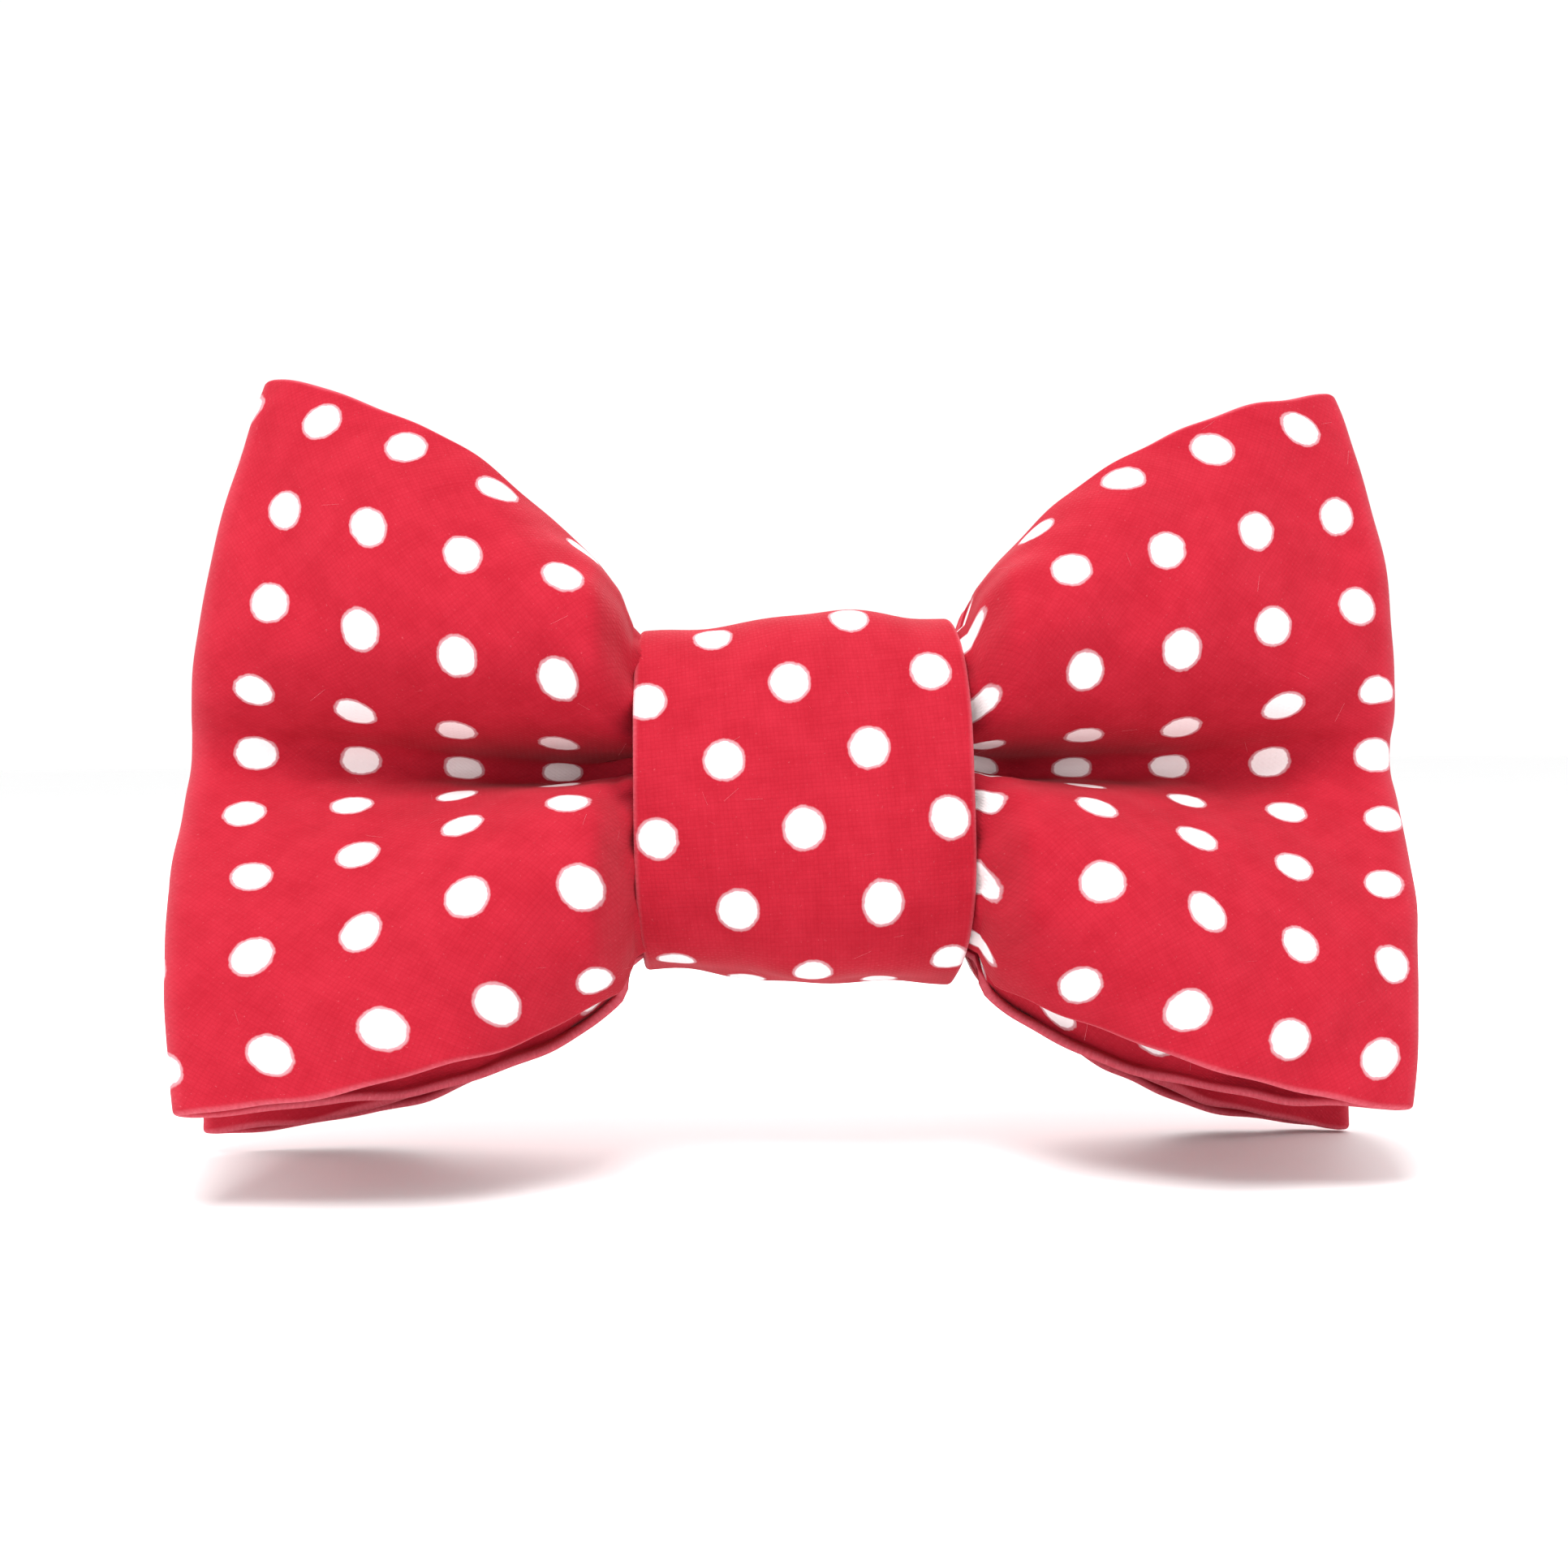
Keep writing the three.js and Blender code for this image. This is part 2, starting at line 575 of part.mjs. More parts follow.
// The jaw's bent sheet, drawn for the right-hand side and mirrored for the left.
function jawShape() {
  const tip = PIN_X + JAW_REACH;
  const tab = PIN_X - JAW_TAB;
  const tipBack = GRIP_FACE + GRIP_THICKNESS + CLEARANCE + STEEL;
  const shape = new THREE.Shape();
  shape.moveTo(tab, PIN_Y + JAW_TAB_LIFT);
  shape.quadraticCurveTo(PIN_X - 4, PIN_Y + JAW_TAB_LIFT - 0.4, PIN_X - 1.5, JAW_BACK - STEEL);
  shape.lineTo(PIN_X + 3, JAW_BACK - STEEL);
  shape.quadraticCurveTo(tip - 5, JAW_BACK - STEEL, tip - 3.2, tipBack - STEEL);
  shape.lineTo(tip, tipBack - STEEL);
  shape.lineTo(tip, tipBack);
  shape.lineTo(tip - 3, tipBack);
  shape.quadraticCurveTo(tip - 4.6, JAW_BACK, PIN_X + 3, JAW_BACK);
  shape.lineTo(PIN_X - 1.2, JAW_BACK);
  shape.quadraticCurveTo(PIN_X - 4, PIN_Y + JAW_TAB_LIFT + 0.5, tab, PIN_Y + JAW_TAB_LIFT + STEEL);
  return shape;
}

function jawCheekShape() {
  const round = PIN_HOLE_RADIUS + HINGE_WALL;
  const shape = new THREE.Shape();
  shape.moveTo(PIN_X - 2.6, JAW_BACK - STEEL / 2);
  shape.lineTo(PIN_X - round, PIN_Y);
  shape.absarc(PIN_X, PIN_Y, round, Math.PI, Math.PI * 2);
  shape.lineTo(PIN_X + 5, JAW_BACK - STEEL / 2);
  shape.holes.push(pinHole(PIN_X, PIN_Y, PIN_HOLE_RADIUS));
  return shape;
}

function mirrored(geometry) {
  const copy = geometry.clone().scale(-1, 1, 1);
  const index = Array.from(copy.index.array);
  for (let i = 0; i < index.length; i += 3) [index[i], index[i + 1]] = [index[i + 1], index[i]];
  copy.setIndex(index);
  return copy;
}

function jaw() {
  let solid = solidCheek(jawShape(), -JAW_WIDTH / 2, JAW_WIDTH);
  for (const low of [-JAW_WIDTH / 2, JAW_WIDTH / 2 - STEEL]) {
    solid = solid.add(solidCheek(jawCheekShape(), low, STEEL));
  }
  return toGeometry(solid);
}

// A ribbed nylon insert inside the jaw's tip that holds the collar without marking it.
function gripInsert() {
  const teeth = 4;
  const tip = PIN_X + JAW_REACH - 0.2;
  const pitch = 0.72;
  const back = GRIP_FACE + GRIP_THICKNESS;
  const shape = new THREE.Shape();
  shape.moveTo(tip, back);
  for (let i = 0; i < teeth; i += 1) {
    shape.lineTo(tip - i * pitch, GRIP_FACE);
    shape.lineTo(tip - (i + 0.5) * pitch, GRIP_FACE + 0.35);
  }
  shape.lineTo(tip - teeth * pitch, back);
  return toGeometry(solidCheek(shape, -JAW_WIDTH / 2, JAW_WIDTH));
}

// A riveted hinge pin along Z, with a head outside each ear.
function hingePin() {
  const inside = EAR_GAP + STEEL + 0.15;
  const end = inside + 0.6;
  const profile = [
    [0, -end],
    [PIN_HEAD_RADIUS, -end],
    [PIN_HEAD_RADIUS, -inside],
    [PIN_RADIUS, -inside],
    [PIN_RADIUS, inside],
    [PIN_HEAD_RADIUS, inside],
    [PIN_HEAD_RADIUS, end],
    [0, end],
  ].map(([radius, height]) => new THREE.Vector2(radius, height));
  const geometry = new THREE.LatheGeometry(profile, 12);
  geometry.rotateX(Math.PI / 2);
  geometry.translate(PIN_X, PIN_Y, 0);
  return geometry;
}

// A torsion spring round the pin: one leg lies on the plate, the other under the thumb tab.
function torsionSpring() {
  const perTurn = 10;
  const pitch = SPRING_WIRE + 0.35;
  const low = (-SPRING_TURNS / 2) * pitch;
  const legs = SPRING_RADIUS * 2.6;
  const onPlate = PLATE_BACK + CLEARANCE + SPRING_WIRE / 2;
  const points = [new THREE.Vector3(PIN_X + legs, onPlate, low)];
  for (let i = 0; i <= SPRING_TURNS * perTurn + 3; i += 1) {
    const turn = -Math.PI / 2 - (i / perTurn) * Math.PI * 2;
    const x = PIN_X + SPRING_RADIUS * Math.cos(turn);
    const y = PIN_Y + SPRING_RADIUS * Math.sin(turn);
    points.push(new THREE.Vector3(x, y, low + (i / perTurn) * pitch));
  }
  const last = points[points.length - 1];
  points.push(new THREE.Vector3(last.x - legs * 0.8, last.y + legs * 0.42, last.z));
  return wire(points, SPRING_WIRE, points.length, 3);
}

function clipEnd(side, prefix) {
  const turned = (geometry) => (side === 1 ? geometry : mirrored(geometry));
  const merged = (geometry) => toGeometry(toSolid(geometry));
  return [
    meshOf(prefix + "_jaw", turned(jaw()), nickel),
    meshOf(prefix + "_grip_insert", turned(gripInsert()), nylon),
    meshOf(prefix + "_hinge_pin", turned(merged(hingePin())), nickel),
    meshOf(prefix + "_spring", turned(merged(torsionSpring())), springSteel),
  ];
}

const clip = new THREE.Group();
clip.add(clipPlate(), ...clipEnd(-1, "left"), ...clipEnd(1, "right"));
clip.position.z = -WAIST_DROP;

// ---------------------------------------------------------------- assembly

const tie = new THREE.Group();
tie.add(...frontBow, ...rearBow, gatherThread());
tie.add(meshOf("wrap_interfacing", wrapLining, interfacing), meshOf("centre_wrap", centreWrap, cotton));
tie.add(closingStitch(), clip);
tie.rotation.x = -LEAN;

// The leaning tie stands on Z = 0 with the middle of its box over the origin.
const standing = new THREE.Group();
standing.add(tie);
standing.updateMatrixWorld(true);
const box = new THREE.Box3().setFromObject(standing, true);
const centre = box.getCenter(new THREE.Vector3());
tie.position.set(-centre.x, -centre.y, -box.min.z);

export default standing;
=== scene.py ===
"""A ready-tied bow tie in spotted cotton, standing on a pale studio floor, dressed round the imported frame.

The cloth is worked out in the tie's own frame, in millimetres: X across, Y from front to back and Z along
its height, with the origin at the middle of the wings. TieFrame leans it back, sets it down and gives metres.
"""
import json
import logging
import math
from dataclasses import dataclass, field
from enum import Enum
from typing import Any, Sequence

import bpy
import numpy as np
from mathutils import Matrix, Vector


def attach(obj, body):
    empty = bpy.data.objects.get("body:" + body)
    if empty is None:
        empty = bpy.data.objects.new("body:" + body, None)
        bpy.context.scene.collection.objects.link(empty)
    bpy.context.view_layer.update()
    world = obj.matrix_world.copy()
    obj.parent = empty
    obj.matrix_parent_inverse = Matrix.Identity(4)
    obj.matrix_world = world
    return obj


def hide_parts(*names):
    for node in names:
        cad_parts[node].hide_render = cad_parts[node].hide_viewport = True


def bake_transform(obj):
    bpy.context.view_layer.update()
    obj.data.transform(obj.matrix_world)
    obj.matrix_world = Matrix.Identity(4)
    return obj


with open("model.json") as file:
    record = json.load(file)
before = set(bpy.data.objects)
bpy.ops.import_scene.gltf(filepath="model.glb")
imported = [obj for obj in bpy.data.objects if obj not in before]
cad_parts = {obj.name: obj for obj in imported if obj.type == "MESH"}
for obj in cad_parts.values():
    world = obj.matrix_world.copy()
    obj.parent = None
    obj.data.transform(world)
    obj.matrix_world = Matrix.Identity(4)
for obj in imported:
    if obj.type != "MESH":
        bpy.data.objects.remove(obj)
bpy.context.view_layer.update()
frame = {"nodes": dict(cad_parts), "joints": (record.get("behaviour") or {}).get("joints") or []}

MM = 0.001
LOG = logging.getLogger("bow_tie")

WAIST_DROP = 5.0  # the gathered waist sits this much below the wings' middle
HINGE_DEPTH = 10.6  # the jaws' hinge line, behind the tie's middle
HINGE_X = 23.0
WRAP_WIDTH = 33.5
WAIST_END = WRAP_WIDTH / 2 + 0.3  # where a wing comes out from under the wrap
SPOT_PITCH = 10.05
SPOTS_ABOVE = 4.37  # cloth above the valley, in spot pitches
SPOTS_BELOW = 4.45
CLOTH_STEP = 1.0  # from one place across a strip of cloth to the next
ROUNDED_EDGE = np.array([0.0, 0.03, 0.09, 0.18, 0.3, 0.45, 0.62, 0.85, 1.2])  # the closer places at its edges


def mix(a: Any, b: Any, share: Any) -> Any:
    """The value a share of the way from a to b."""
    return a + (b - a) * share


def smooth(x: Any, low: float, high: float) -> Any:
    """A soft step of x from 0 at low to 1 at high."""
    t = np.clip((x - low) / (high - low), 0.0, 1.0)
    return t * t * (3 - 2 * t)


def wave(where: Any, turn: float = 0.0) -> Any:
    """A sine that repeats at each whole number, shifted by turn in radians."""
    return np.sin(2 * math.pi * where + turn)


def across_strip(low: float, high: float) -> np.ndarray:
    """Places across a strip from edge to edge, closer together where its edges are rounded."""
    inner = np.arange(low + ROUNDED_EDGE[-1] + CLOTH_STEP, high - ROUNDED_EDGE[-1] - CLOTH_STEP / 2, CLOTH_STEP)
    return np.concatenate([low + ROUNDED_EDGE, inner, (high - ROUNDED_EDGE)[::-1]])


# ---------------------------------------------------------------- the tie's frame


@dataclass(frozen=True)
class TieFrame:
    """Where the leaning tie stands.

    Attributes:
        lean: how far it leans back, in radians.
        back: how far its middle stands behind the row's origin, in millimetres.
        up: how far its middle stands above the floor, in millimetres.
    """

    lean: float
    back: float
    up: float

    @classmethod
    def from_joints(cls, joints: Sequence[dict]) -> "TieFrame":
        """Reads the lean and the place from the right jaw's hinge.

        Args:
            joints: the frame's joints.

        Returns:
            The tie's frame.
        """
        hinge = next(j for j in joints if j["name"] == "right_jaw_hinge")
        lean = math.atan2(hinge["axis"][1], hinge["axis"][2])
        depth, height = HINGE_DEPTH, -WAIST_DROP
        back = hinge["pos_m"][1] / MM - (depth * math.cos(lean) + height * math.sin(lean))
        up = hinge["pos_m"][2] / MM - (height * math.cos(lean) - depth * math.sin(lean))
        return cls(lean, back, up)

    def place(self, points: np.ndarray) -> np.ndarray:
        """Leans points back, sets them down and turns them to metres.

        Args:
            points: an array whose last axis is x, depth, height in millimetres.

        Returns:
            The same points in the row frame.
        """
        x, depth, height = np.moveaxis(np.asarray(points, float), -1, 0)
        y = depth * math.cos(self.lean) + height * math.sin(self.lean) + self.back
        z = height * math.cos(self.lean) - depth * math.sin(self.lean) + self.up
        return np.stack([x, y, z], axis=-1) * MM


TIE = TieFrame.from_joints(frame["joints"])


# ---------------------------------------------------------------- shader maths


class Value:
    """A number carried by a shader socket, with the operators that the finishes use."""

    def __init__(self, graph: "Graph", socket: bpy.types.NodeSocket) -> None:
        """Wraps a socket of a graph."""
        self.graph = graph
        self.socket = socket

    def _math(self, operation: str, *values: Any) -> "Value":
        """One Math node on the given values."""
        return self.graph.node("ShaderNodeMath", {"operation": operation}, dict(enumerate(values)))

    def __add__(self, other: Any) -> "Value":
        """self + other."""
        return self._math("ADD", self, other)

    __radd__ = __add__

    def __mul__(self, other: Any) -> "Value":
        """self * other."""
        return self._math("MULTIPLY", self, other)

    __rmul__ = __mul__

    def __sub__(self, other: Any) -> "Value":
        """self - other."""
        return self._math("SUBTRACT", self, other)

    def __rsub__(self, other: Any) -> "Value":
        """other - self."""
        return self._math("SUBTRACT", other, self)

    def __abs__(self) -> "Value":
        """The size of self without its sign."""
        return self._math("ABSOLUTE", self)

    def sine(self) -> "Value":
        """The sine of self, in radians."""
        return self._math("SINE", self)

    def nearest(self) -> "Value":
        """The whole number nearest to self."""
        return self._math("ROUND", self)

    def root(self) -> "Value":
        """The square root of self."""
        return self._math("SQRT", self)

    def step(self, low: float, high: float, start: float = 0.0, end: float = 1.0) -> "Value":
        """A soft step of self, from start at low to end at high."""
        inputs = {0: self, 1: low, 2: high, 3: start, 4: end}
        return self.graph.node("ShaderNodeMapRange", {"interpolation_type": "SMOOTHSTEP"}, inputs)


class Graph:
    """A material's nodes, made one at a time by node()."""

    def __init__(self, name: str) -> None:
        """Starts an empty material.

        Args:
            name: the material's name.
        """
        self.material = bpy.data.materials.new(name)
        self.material.use_nodes = True
        self.tree = self.material.node_tree
        self.tree.nodes.clear()

    def node(self, kind: str, settings: dict | None = None, inputs: dict | None = None, out: Any = 0) -> Value:
        """Adds a node.

        Args:
            kind: the node's type.
            settings: its own settings, which are set first.
            inputs: a value or a Value for each input, by name or number.
            out: the output that is wanted, by name or number.

        Returns:
            The wanted output.
        """
        made = self.tree.nodes.new(kind)
        for key, value in (settings or {}).items():
            setattr(made, key, value)
        for key, value in (inputs or {}).items():
            socket = made.inputs[key]
            if isinstance(value, Value):
                self.tree.links.new(value.socket, socket)
            else:
                socket.default_value = value
        return Value(self, made.outputs[out])

    def blend(self, share: Any, first: Any, second: Any) -> Value:
        """A colour mixed from first to second by share."""
        return self.node("ShaderNodeMix", {"data_type": "RGBA"}, {0: share, 6: first, 7: second}, 2)

    def noise(self, where: Value, scale: float, detail: float = 2.0, rough: float = 0.5) -> Value:
        """Noise of that scale, from about 0 to 1."""
        inputs = {"Vector": where, "Scale": scale, "Detail": detail, "Roughness": rough}
        return self.node("ShaderNodeTexNoise", {}, inputs)

    def turned(self, where: Value, turn: float, shift: Sequence[float], scale: Sequence[float]) -> Value:
        """A point moved, turned about Z by turn in degrees, and scaled."""
        inputs = {"Vector": where, "Location": (*shift, 0.0), "Rotation": (0.0, 0.0, math.radians(turn)),
                  "Scale": (*scale, 1.0)}
        return self.node("ShaderNodeMapping", {"vector_type": "POINT"}, inputs)

    def parts(self, where: Value) -> tuple[Value, Value]:
        """The X and Y of a point."""
        made = self.node("ShaderNodeSeparateXYZ", {}, {0: where})
        return made, Value(self, made.socket.node.outputs[1])

    def finish(self, inputs: dict, height: Value | None = None, depth: float = 0.0) -> bpy.types.Material:
        """Ends the material in a Principled shader.

        Args:
            inputs: the shader's inputs.
            height: the relief's height, from 0 to 1.
            depth: how deep the relief is, in metres.

        Returns:
            The material.
        """
        if height is not None:
            relief = {"Height": height, "Distance": depth, "Strength": 1.0}
            inputs = {**inputs, "Normal": self.node("ShaderNodeBump", {}, relief)}
        shader = self.node("ShaderNodeBsdfPrincipled", {}, inputs)
        end = self.tree.nodes.new("ShaderNodeOutputMaterial")
        self.tree.links.new(shader.socket, end.inputs["Surface"])
        return self.material


# ---------------------------------------------------------------- finishes


@dataclass(frozen=True)
class PrintedCotton:
    """Red plain-weave poplin with white printed spots.

    Attributes:
        name: the material's name.
        grain: angle of the threads to the piece's length, in degrees.
        shift: the spots' place on the piece, in millimetres.
        spot: a spot's radius, in millimetres.
        thread: from one thread to the next, in millimetres.
        red: the colour of the dye.
        slub_and_highlight_red: a lighter red where the threads stand proud in slubs and on cloudy patches,
            partly uneven dye and partly a painted highlight.
        painted_groove_shade_red: a painted shade in the grooves between the threads.
        fuzzy_red: the same under loose fibres.
        worn_red: the same along a pressed fold.
        white: the spots' colour.
        thin_and_shaded_white: the spots' colour in the grooves, where the print missed the threads and painted
            shade darkens it.
        rim: the spots' blurred rims.
        sheen: the tint of the cloth's sheen.
    """

    name: str
    grain: float
    shift: tuple[float, float] = (0.0, 0.0)
    spot: float = 1.86
    thread: float = 0.4
    red: tuple = (0.385, 0.0085, 0.022, 1.0)
    slub_and_highlight_red: tuple = (0.49, 0.018, 0.038, 1.0)
    painted_groove_shade_red: tuple = (0.27, 0.005, 0.014, 1.0)
    fuzzy_red: tuple = (0.85, 0.30, 0.34, 1.0)
    worn_red: tuple = (0.86, 0.22, 0.28, 1.0)
    white: tuple = (0.90, 0.86, 0.86, 1.0)
    thin_and_shaded_white: tuple = (0.72, 0.60, 0.61, 1.0)
    rim: tuple = (0.56, 0.27, 0.30, 1.0)
    sheen: tuple = (1.0, 0.72, 0.74, 1.0)

    def build(self) -> bpy.types.Material:
        """Makes the material.

        Returns:
            A material that reads the piece's UV map, in metres of cloth.
        """
        g = Graph(self.name)
        cloth = g.node("ShaderNodeUVMap", {"uv_map": "cloth"})
        start = g.turned(cloth, 0.0, [-s * MM for s in self.shift], (1.0, 1.0))
        grain = g.turned(start, self.grain, (0, 0), (1.0, 1.0))
        x, y = g.parts(grain)
        warp, weft = ((place * (math.pi / (self.thread * MM))).sine() for place in (x, y))
        over = warp * weft * 0.5 + 0.5
        groove = (abs(warp) * abs(weft)).root()
        weave = over * 0.45 + groove * 0.55
        # slubs run along single threads, both ways
        along = g.noise(g.turned(grain, 0.0, (0, 0), (1 / (0.42 * MM), 1 / (6 * MM))), 1.0, 2.0)
        across = g.noise(g.turned(grain, 0.0, (3.0, 5.0), (1 / (6 * MM), 1 / (0.42 * MM))), 1.0, 2.0)
        slub = (along + across) * 0.5
        cloudy = g.noise(cloth, 1 / (4 * MM), 3.0, 0.6)
        fuzz = g.noise(cloth, 1 / (0.35 * MM), 3.0, 0.7)
        # spots stand on a square lattice at half a right angle to the threads
        wobble = g.noise(cloth, 1 / (0.9 * MM), 2.0) - 0.5
        lattice = g.turned(grain, 45.0, (0, 0), (1 / (SPOT_PITCH * MM), 1 / (SPOT_PITCH * MM)))
        lx, ly = g.parts(lattice)
        fx, fy = lx - lx.nearest(), ly - ly.nearest()
        radius = (fx * fx + fy * fy).root() * SPOT_PITCH + wobble * 0.34 + weave * 0.05
        inside = radius.step(self.spot - 0.10, self.spot + 0.08, 1.0, 0.0)
        rim = radius.step(self.spot - 0.12, self.spot)
        rim = rim * radius.step(self.spot + 0.16, self.spot + 0.36, 1.0, 0.0)
        # painted highlight: slubs and cloudy patches go toward a lighter, lit red, partly the cloth's own
        # uneven dye
        dye_and_painted_light = g.blend(slub.step(0.34, 0.66) * 0.22 + cloudy.step(0.3, 0.7) * 0.42, self.red, self.slub_and_highlight_red)
        # painted shade: the grooves between the threads are darkened toward a shaded red
        dye_and_painted_light = g.blend(weave.step(0.05, 0.6, 1.0, 0.0) * 0.36, dye_and_painted_light, self.painted_groove_shade_red)
        dye_and_painted_light = g.blend(fuzz.step(0.62, 0.80) * 0.22, dye_and_painted_light, self.fuzzy_red)
        # the print goes paler and pinker in the grooves where it is thin, and darker there as painted shade
        printed = g.blend(weave.step(0.0, 0.5, 0.10, 0.0), self.white, self.thin_and_shaded_white)
        colour = g.blend(rim * 0.9, dye_and_painted_light, self.rim)
        colour = g.blend(inside, colour, printed)
        worn = g.node("ShaderNodeAttribute", {"attribute_name": "fold"}, {}, "Fac")
        colour = g.blend(worn * (fuzz * 0.5 + 0.1), colour, self.worn_red)
        rough = weave * -0.12 + 0.92 - inside * 0.04
        height = weave * 0.7 + fuzz * 0.3 + slub * 0.12
        looks = {"Base Color": colour, "Roughness": rough, "Sheen Weight": 0.08, "Sheen Roughness": 0.4,
                 "Sheen Tint": self.sheen, "Specular IOR Level": 0.12}
        return g.finish(looks, height, 0.045 * MM)


@dataclass(frozen=True)
class Woven:
    """A plain woven or spun finish, such as interfacing or sewing thread.

    Attributes:
        name: the material's name.
        pale: its lighter colour.
        dark: its darker colour.
        pitch: from one thread or ply to the next, in millimetres.
        relief: how deep the threads are, in millimetres.
    """

    name: str
    pale: tuple
    dark: tuple
    pitch: float
    relief: float

    def build(self) -> bpy.types.Material:
        """Makes the material from Object coordinates.

        Returns:
            The finish.
        """
        g = Graph(self.name)
        where = g.node("ShaderNodeTexCoord", {}, {}, "Object")
        fibre = g.noise(where, 1 / (self.pitch * MM), 4.0, 0.7)
        cloudy = g.noise(where, 1 / (8 * MM), 2.0)
        colour = g.blend(fibre.step(0.35, 0.65) * 0.7 + cloudy * 0.3, self.dark, self.pale)
        looks = {"Base Color": colour, "Roughness": fibre * 0.1 + 0.82, "Sheen Weight": 0.25}
        return g.finish(looks, fibre, self.relief * MM)


@dataclass(frozen=True)
class Metal:
    """Plated or drawn steel with fine handling marks.

    Attributes:
        name: the material's name.
        colour: its colour.
        dull: its colour where it is tarnished.
        rough: its roughness where it is clean.
    """

    name: str
    colour: tuple
    dull: tuple
    rough: float

    def build(self) -> bpy.types.Material:
        """Makes the material from Object coordinates.

        Returns:
            The finish.
        """
        g = Graph(self.name)
        where = g.node("ShaderNodeTexCoord", {}, {}, "Object")
        drawn = g.node("ShaderNodeMapping", {}, {"Vector": where, "Scale": (30.0, 900.0, 900.0)})
        brushed = g.noise(drawn, 8.0, 3.0)
        cloudy = g.noise(where, 1 / (5 * MM), 4.0, 0.6)
        scuffs = g.noise(where, 1 / (0.7 * MM), 3.0, 0.7).step(0.60, 0.75)
        colour = g.blend(cloudy.step(0.45, 0.70) * 0.6 + scuffs * 0.25, self.colour, self.dull)
        rough = cloudy * 0.14 + scuffs * 0.12 + brushed * 0.08 + self.rough
        looks = {"Base Color": colour, "Metallic": 1.0, "Roughness": rough}
        return g.finish(looks, brushed * 0.5 + scuffs * 0.5, 0.006 * MM)


@dataclass(frozen=True)
class Moulded:
    """Moulded black nylon with a fine spark-eroded grain."""

    name: str = "black_nylon"

    def build(self) -> bpy.types.Material:
        """Makes the material from Object coordinates.

        Returns:
            The finish.
        """
        g = Graph(self.name)
        where = g.node("ShaderNodeTexCoord", {}, {}, "Object")
        grain = g.noise(where, 1 / (0.18 * MM), 3.0, 0.6)
        worn = g.noise(where, 1 / (1.6 * MM), 3.0).step(0.5, 0.75)
        colour = g.blend(worn * 0.5, (0.018, 0.018, 0.020, 1.0), (0.06, 0.06, 0.063, 1.0))
        return g.finish({"Base Color": colour, "Roughness": grain * 0.2 + 0.42}, grain, 0.02 * MM)


@dataclass(frozen=True)
class PaleFloor:
    """A matt white studio floor."""

    name: str = "pale_floor"

    def build(self) -> bpy.types.Material:
        """Makes the material from Object coordinates.

        Returns:
            The finish.
        """
        g = Graph(self.name)
        where = g.node("ShaderNodeTexCoord", {}, {}, "Object")
        cloudy = g.noise(where, 6.0, 2.0)
        colour = g.blend(cloudy, (0.95, 0.95, 0.95, 1.0), (0.97, 0.97, 0.97, 1.0))
        return g.finish({"Base Color": colour, "Roughness": 0.75, "Specular IOR Level": 0.1})


class Slot(Enum):
    """The record's material slots."""

    COTTON = "printed_cotton"
    INTERFACING = "interfacing"
    THREAD = "thread"
    NICKEL = "nickel_plate"
    SPRING = "spring_steel"
    NYLON = "black_nylon"


@dataclass
class Finishes:
    """Every finish of the tie, made once."""

    band: bpy.types.Material = field(default_factory=lambda: PrintedCotton("spotted_cotton_bias", 45.0).build())
    wrap: bpy.types.Material = field(
        default_factory=lambda: PrintedCotton("spotted_cotton_straight", -4.3, (3.1, 3.15)).build())
    interfacing: bpy.types.Material = field(
        default_factory=lambda: Woven(
            "interfacing", (0.86, 0.84, 0.78, 1), (0.70, 0.67, 0.60, 1), 0.35, 0.05).build())
    thread: bpy.types.Material = field(
        default_factory=lambda: Woven(
            "sewing_thread", (0.62, 0.03, 0.06, 1), (0.36, 0.01, 0.03, 1), 0.12, 0.04).build())
    lint: bpy.types.Material = field(
        default_factory=lambda: Woven(
            "cotton_lint", (0.80, 0.30, 0.34, 1), (0.62, 0.08, 0.12, 1), 0.5, 0.0).build())
    nickel: bpy.types.Material = field(
        default_factory=lambda: Metal(
            "nickel_plate", (0.64, 0.63, 0.60, 1), (0.42, 0.41, 0.39, 1), 0.20).build())
    spring: bpy.types.Material = field(
        default_factory=lambda: Metal(
            "spring_steel", (0.58, 0.58, 0.60, 1), (0.36, 0.35, 0.35, 1), 0.28).build())
    nylon: bpy.types.Material = field(default_factory=lambda: Moulded().build())


# ---------------------------------------------------------------- meshes


def link_object(name: str, mesh: bpy.types.Mesh, material: bpy.types.Material) -> bpy.types.Object:
    """Shows a mesh, smooth shaded, in one material.

    Args:
        name: the piece's name.
        mesh: its mesh, in the row frame.
        material: its finish.

    Returns:
        The new object.
    """
    mesh.materials.clear()
    mesh.materials.append(material)
    mesh.polygons.foreach_set("use_smooth", [True] * len(mesh.polygons))
    piece = bpy.data.objects.new(name, mesh)
    bpy.context.scene.collection.objects.link(piece)
    return piece


def stand_for(node: str) -> None:
    """Hides a node of the frame, for a piece that takes its place."""
    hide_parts(node)


def volume_of(points: np.ndarray, quads: np.ndarray) -> float:
    """Six times the volume inside a closed mesh of four-sided faces."""
    a, b, c, d = (points[quads[:, i]] for i in range(4))
    return float((a * np.cross(b, c)).sum() + (a * np.cross(c, d)).sum())


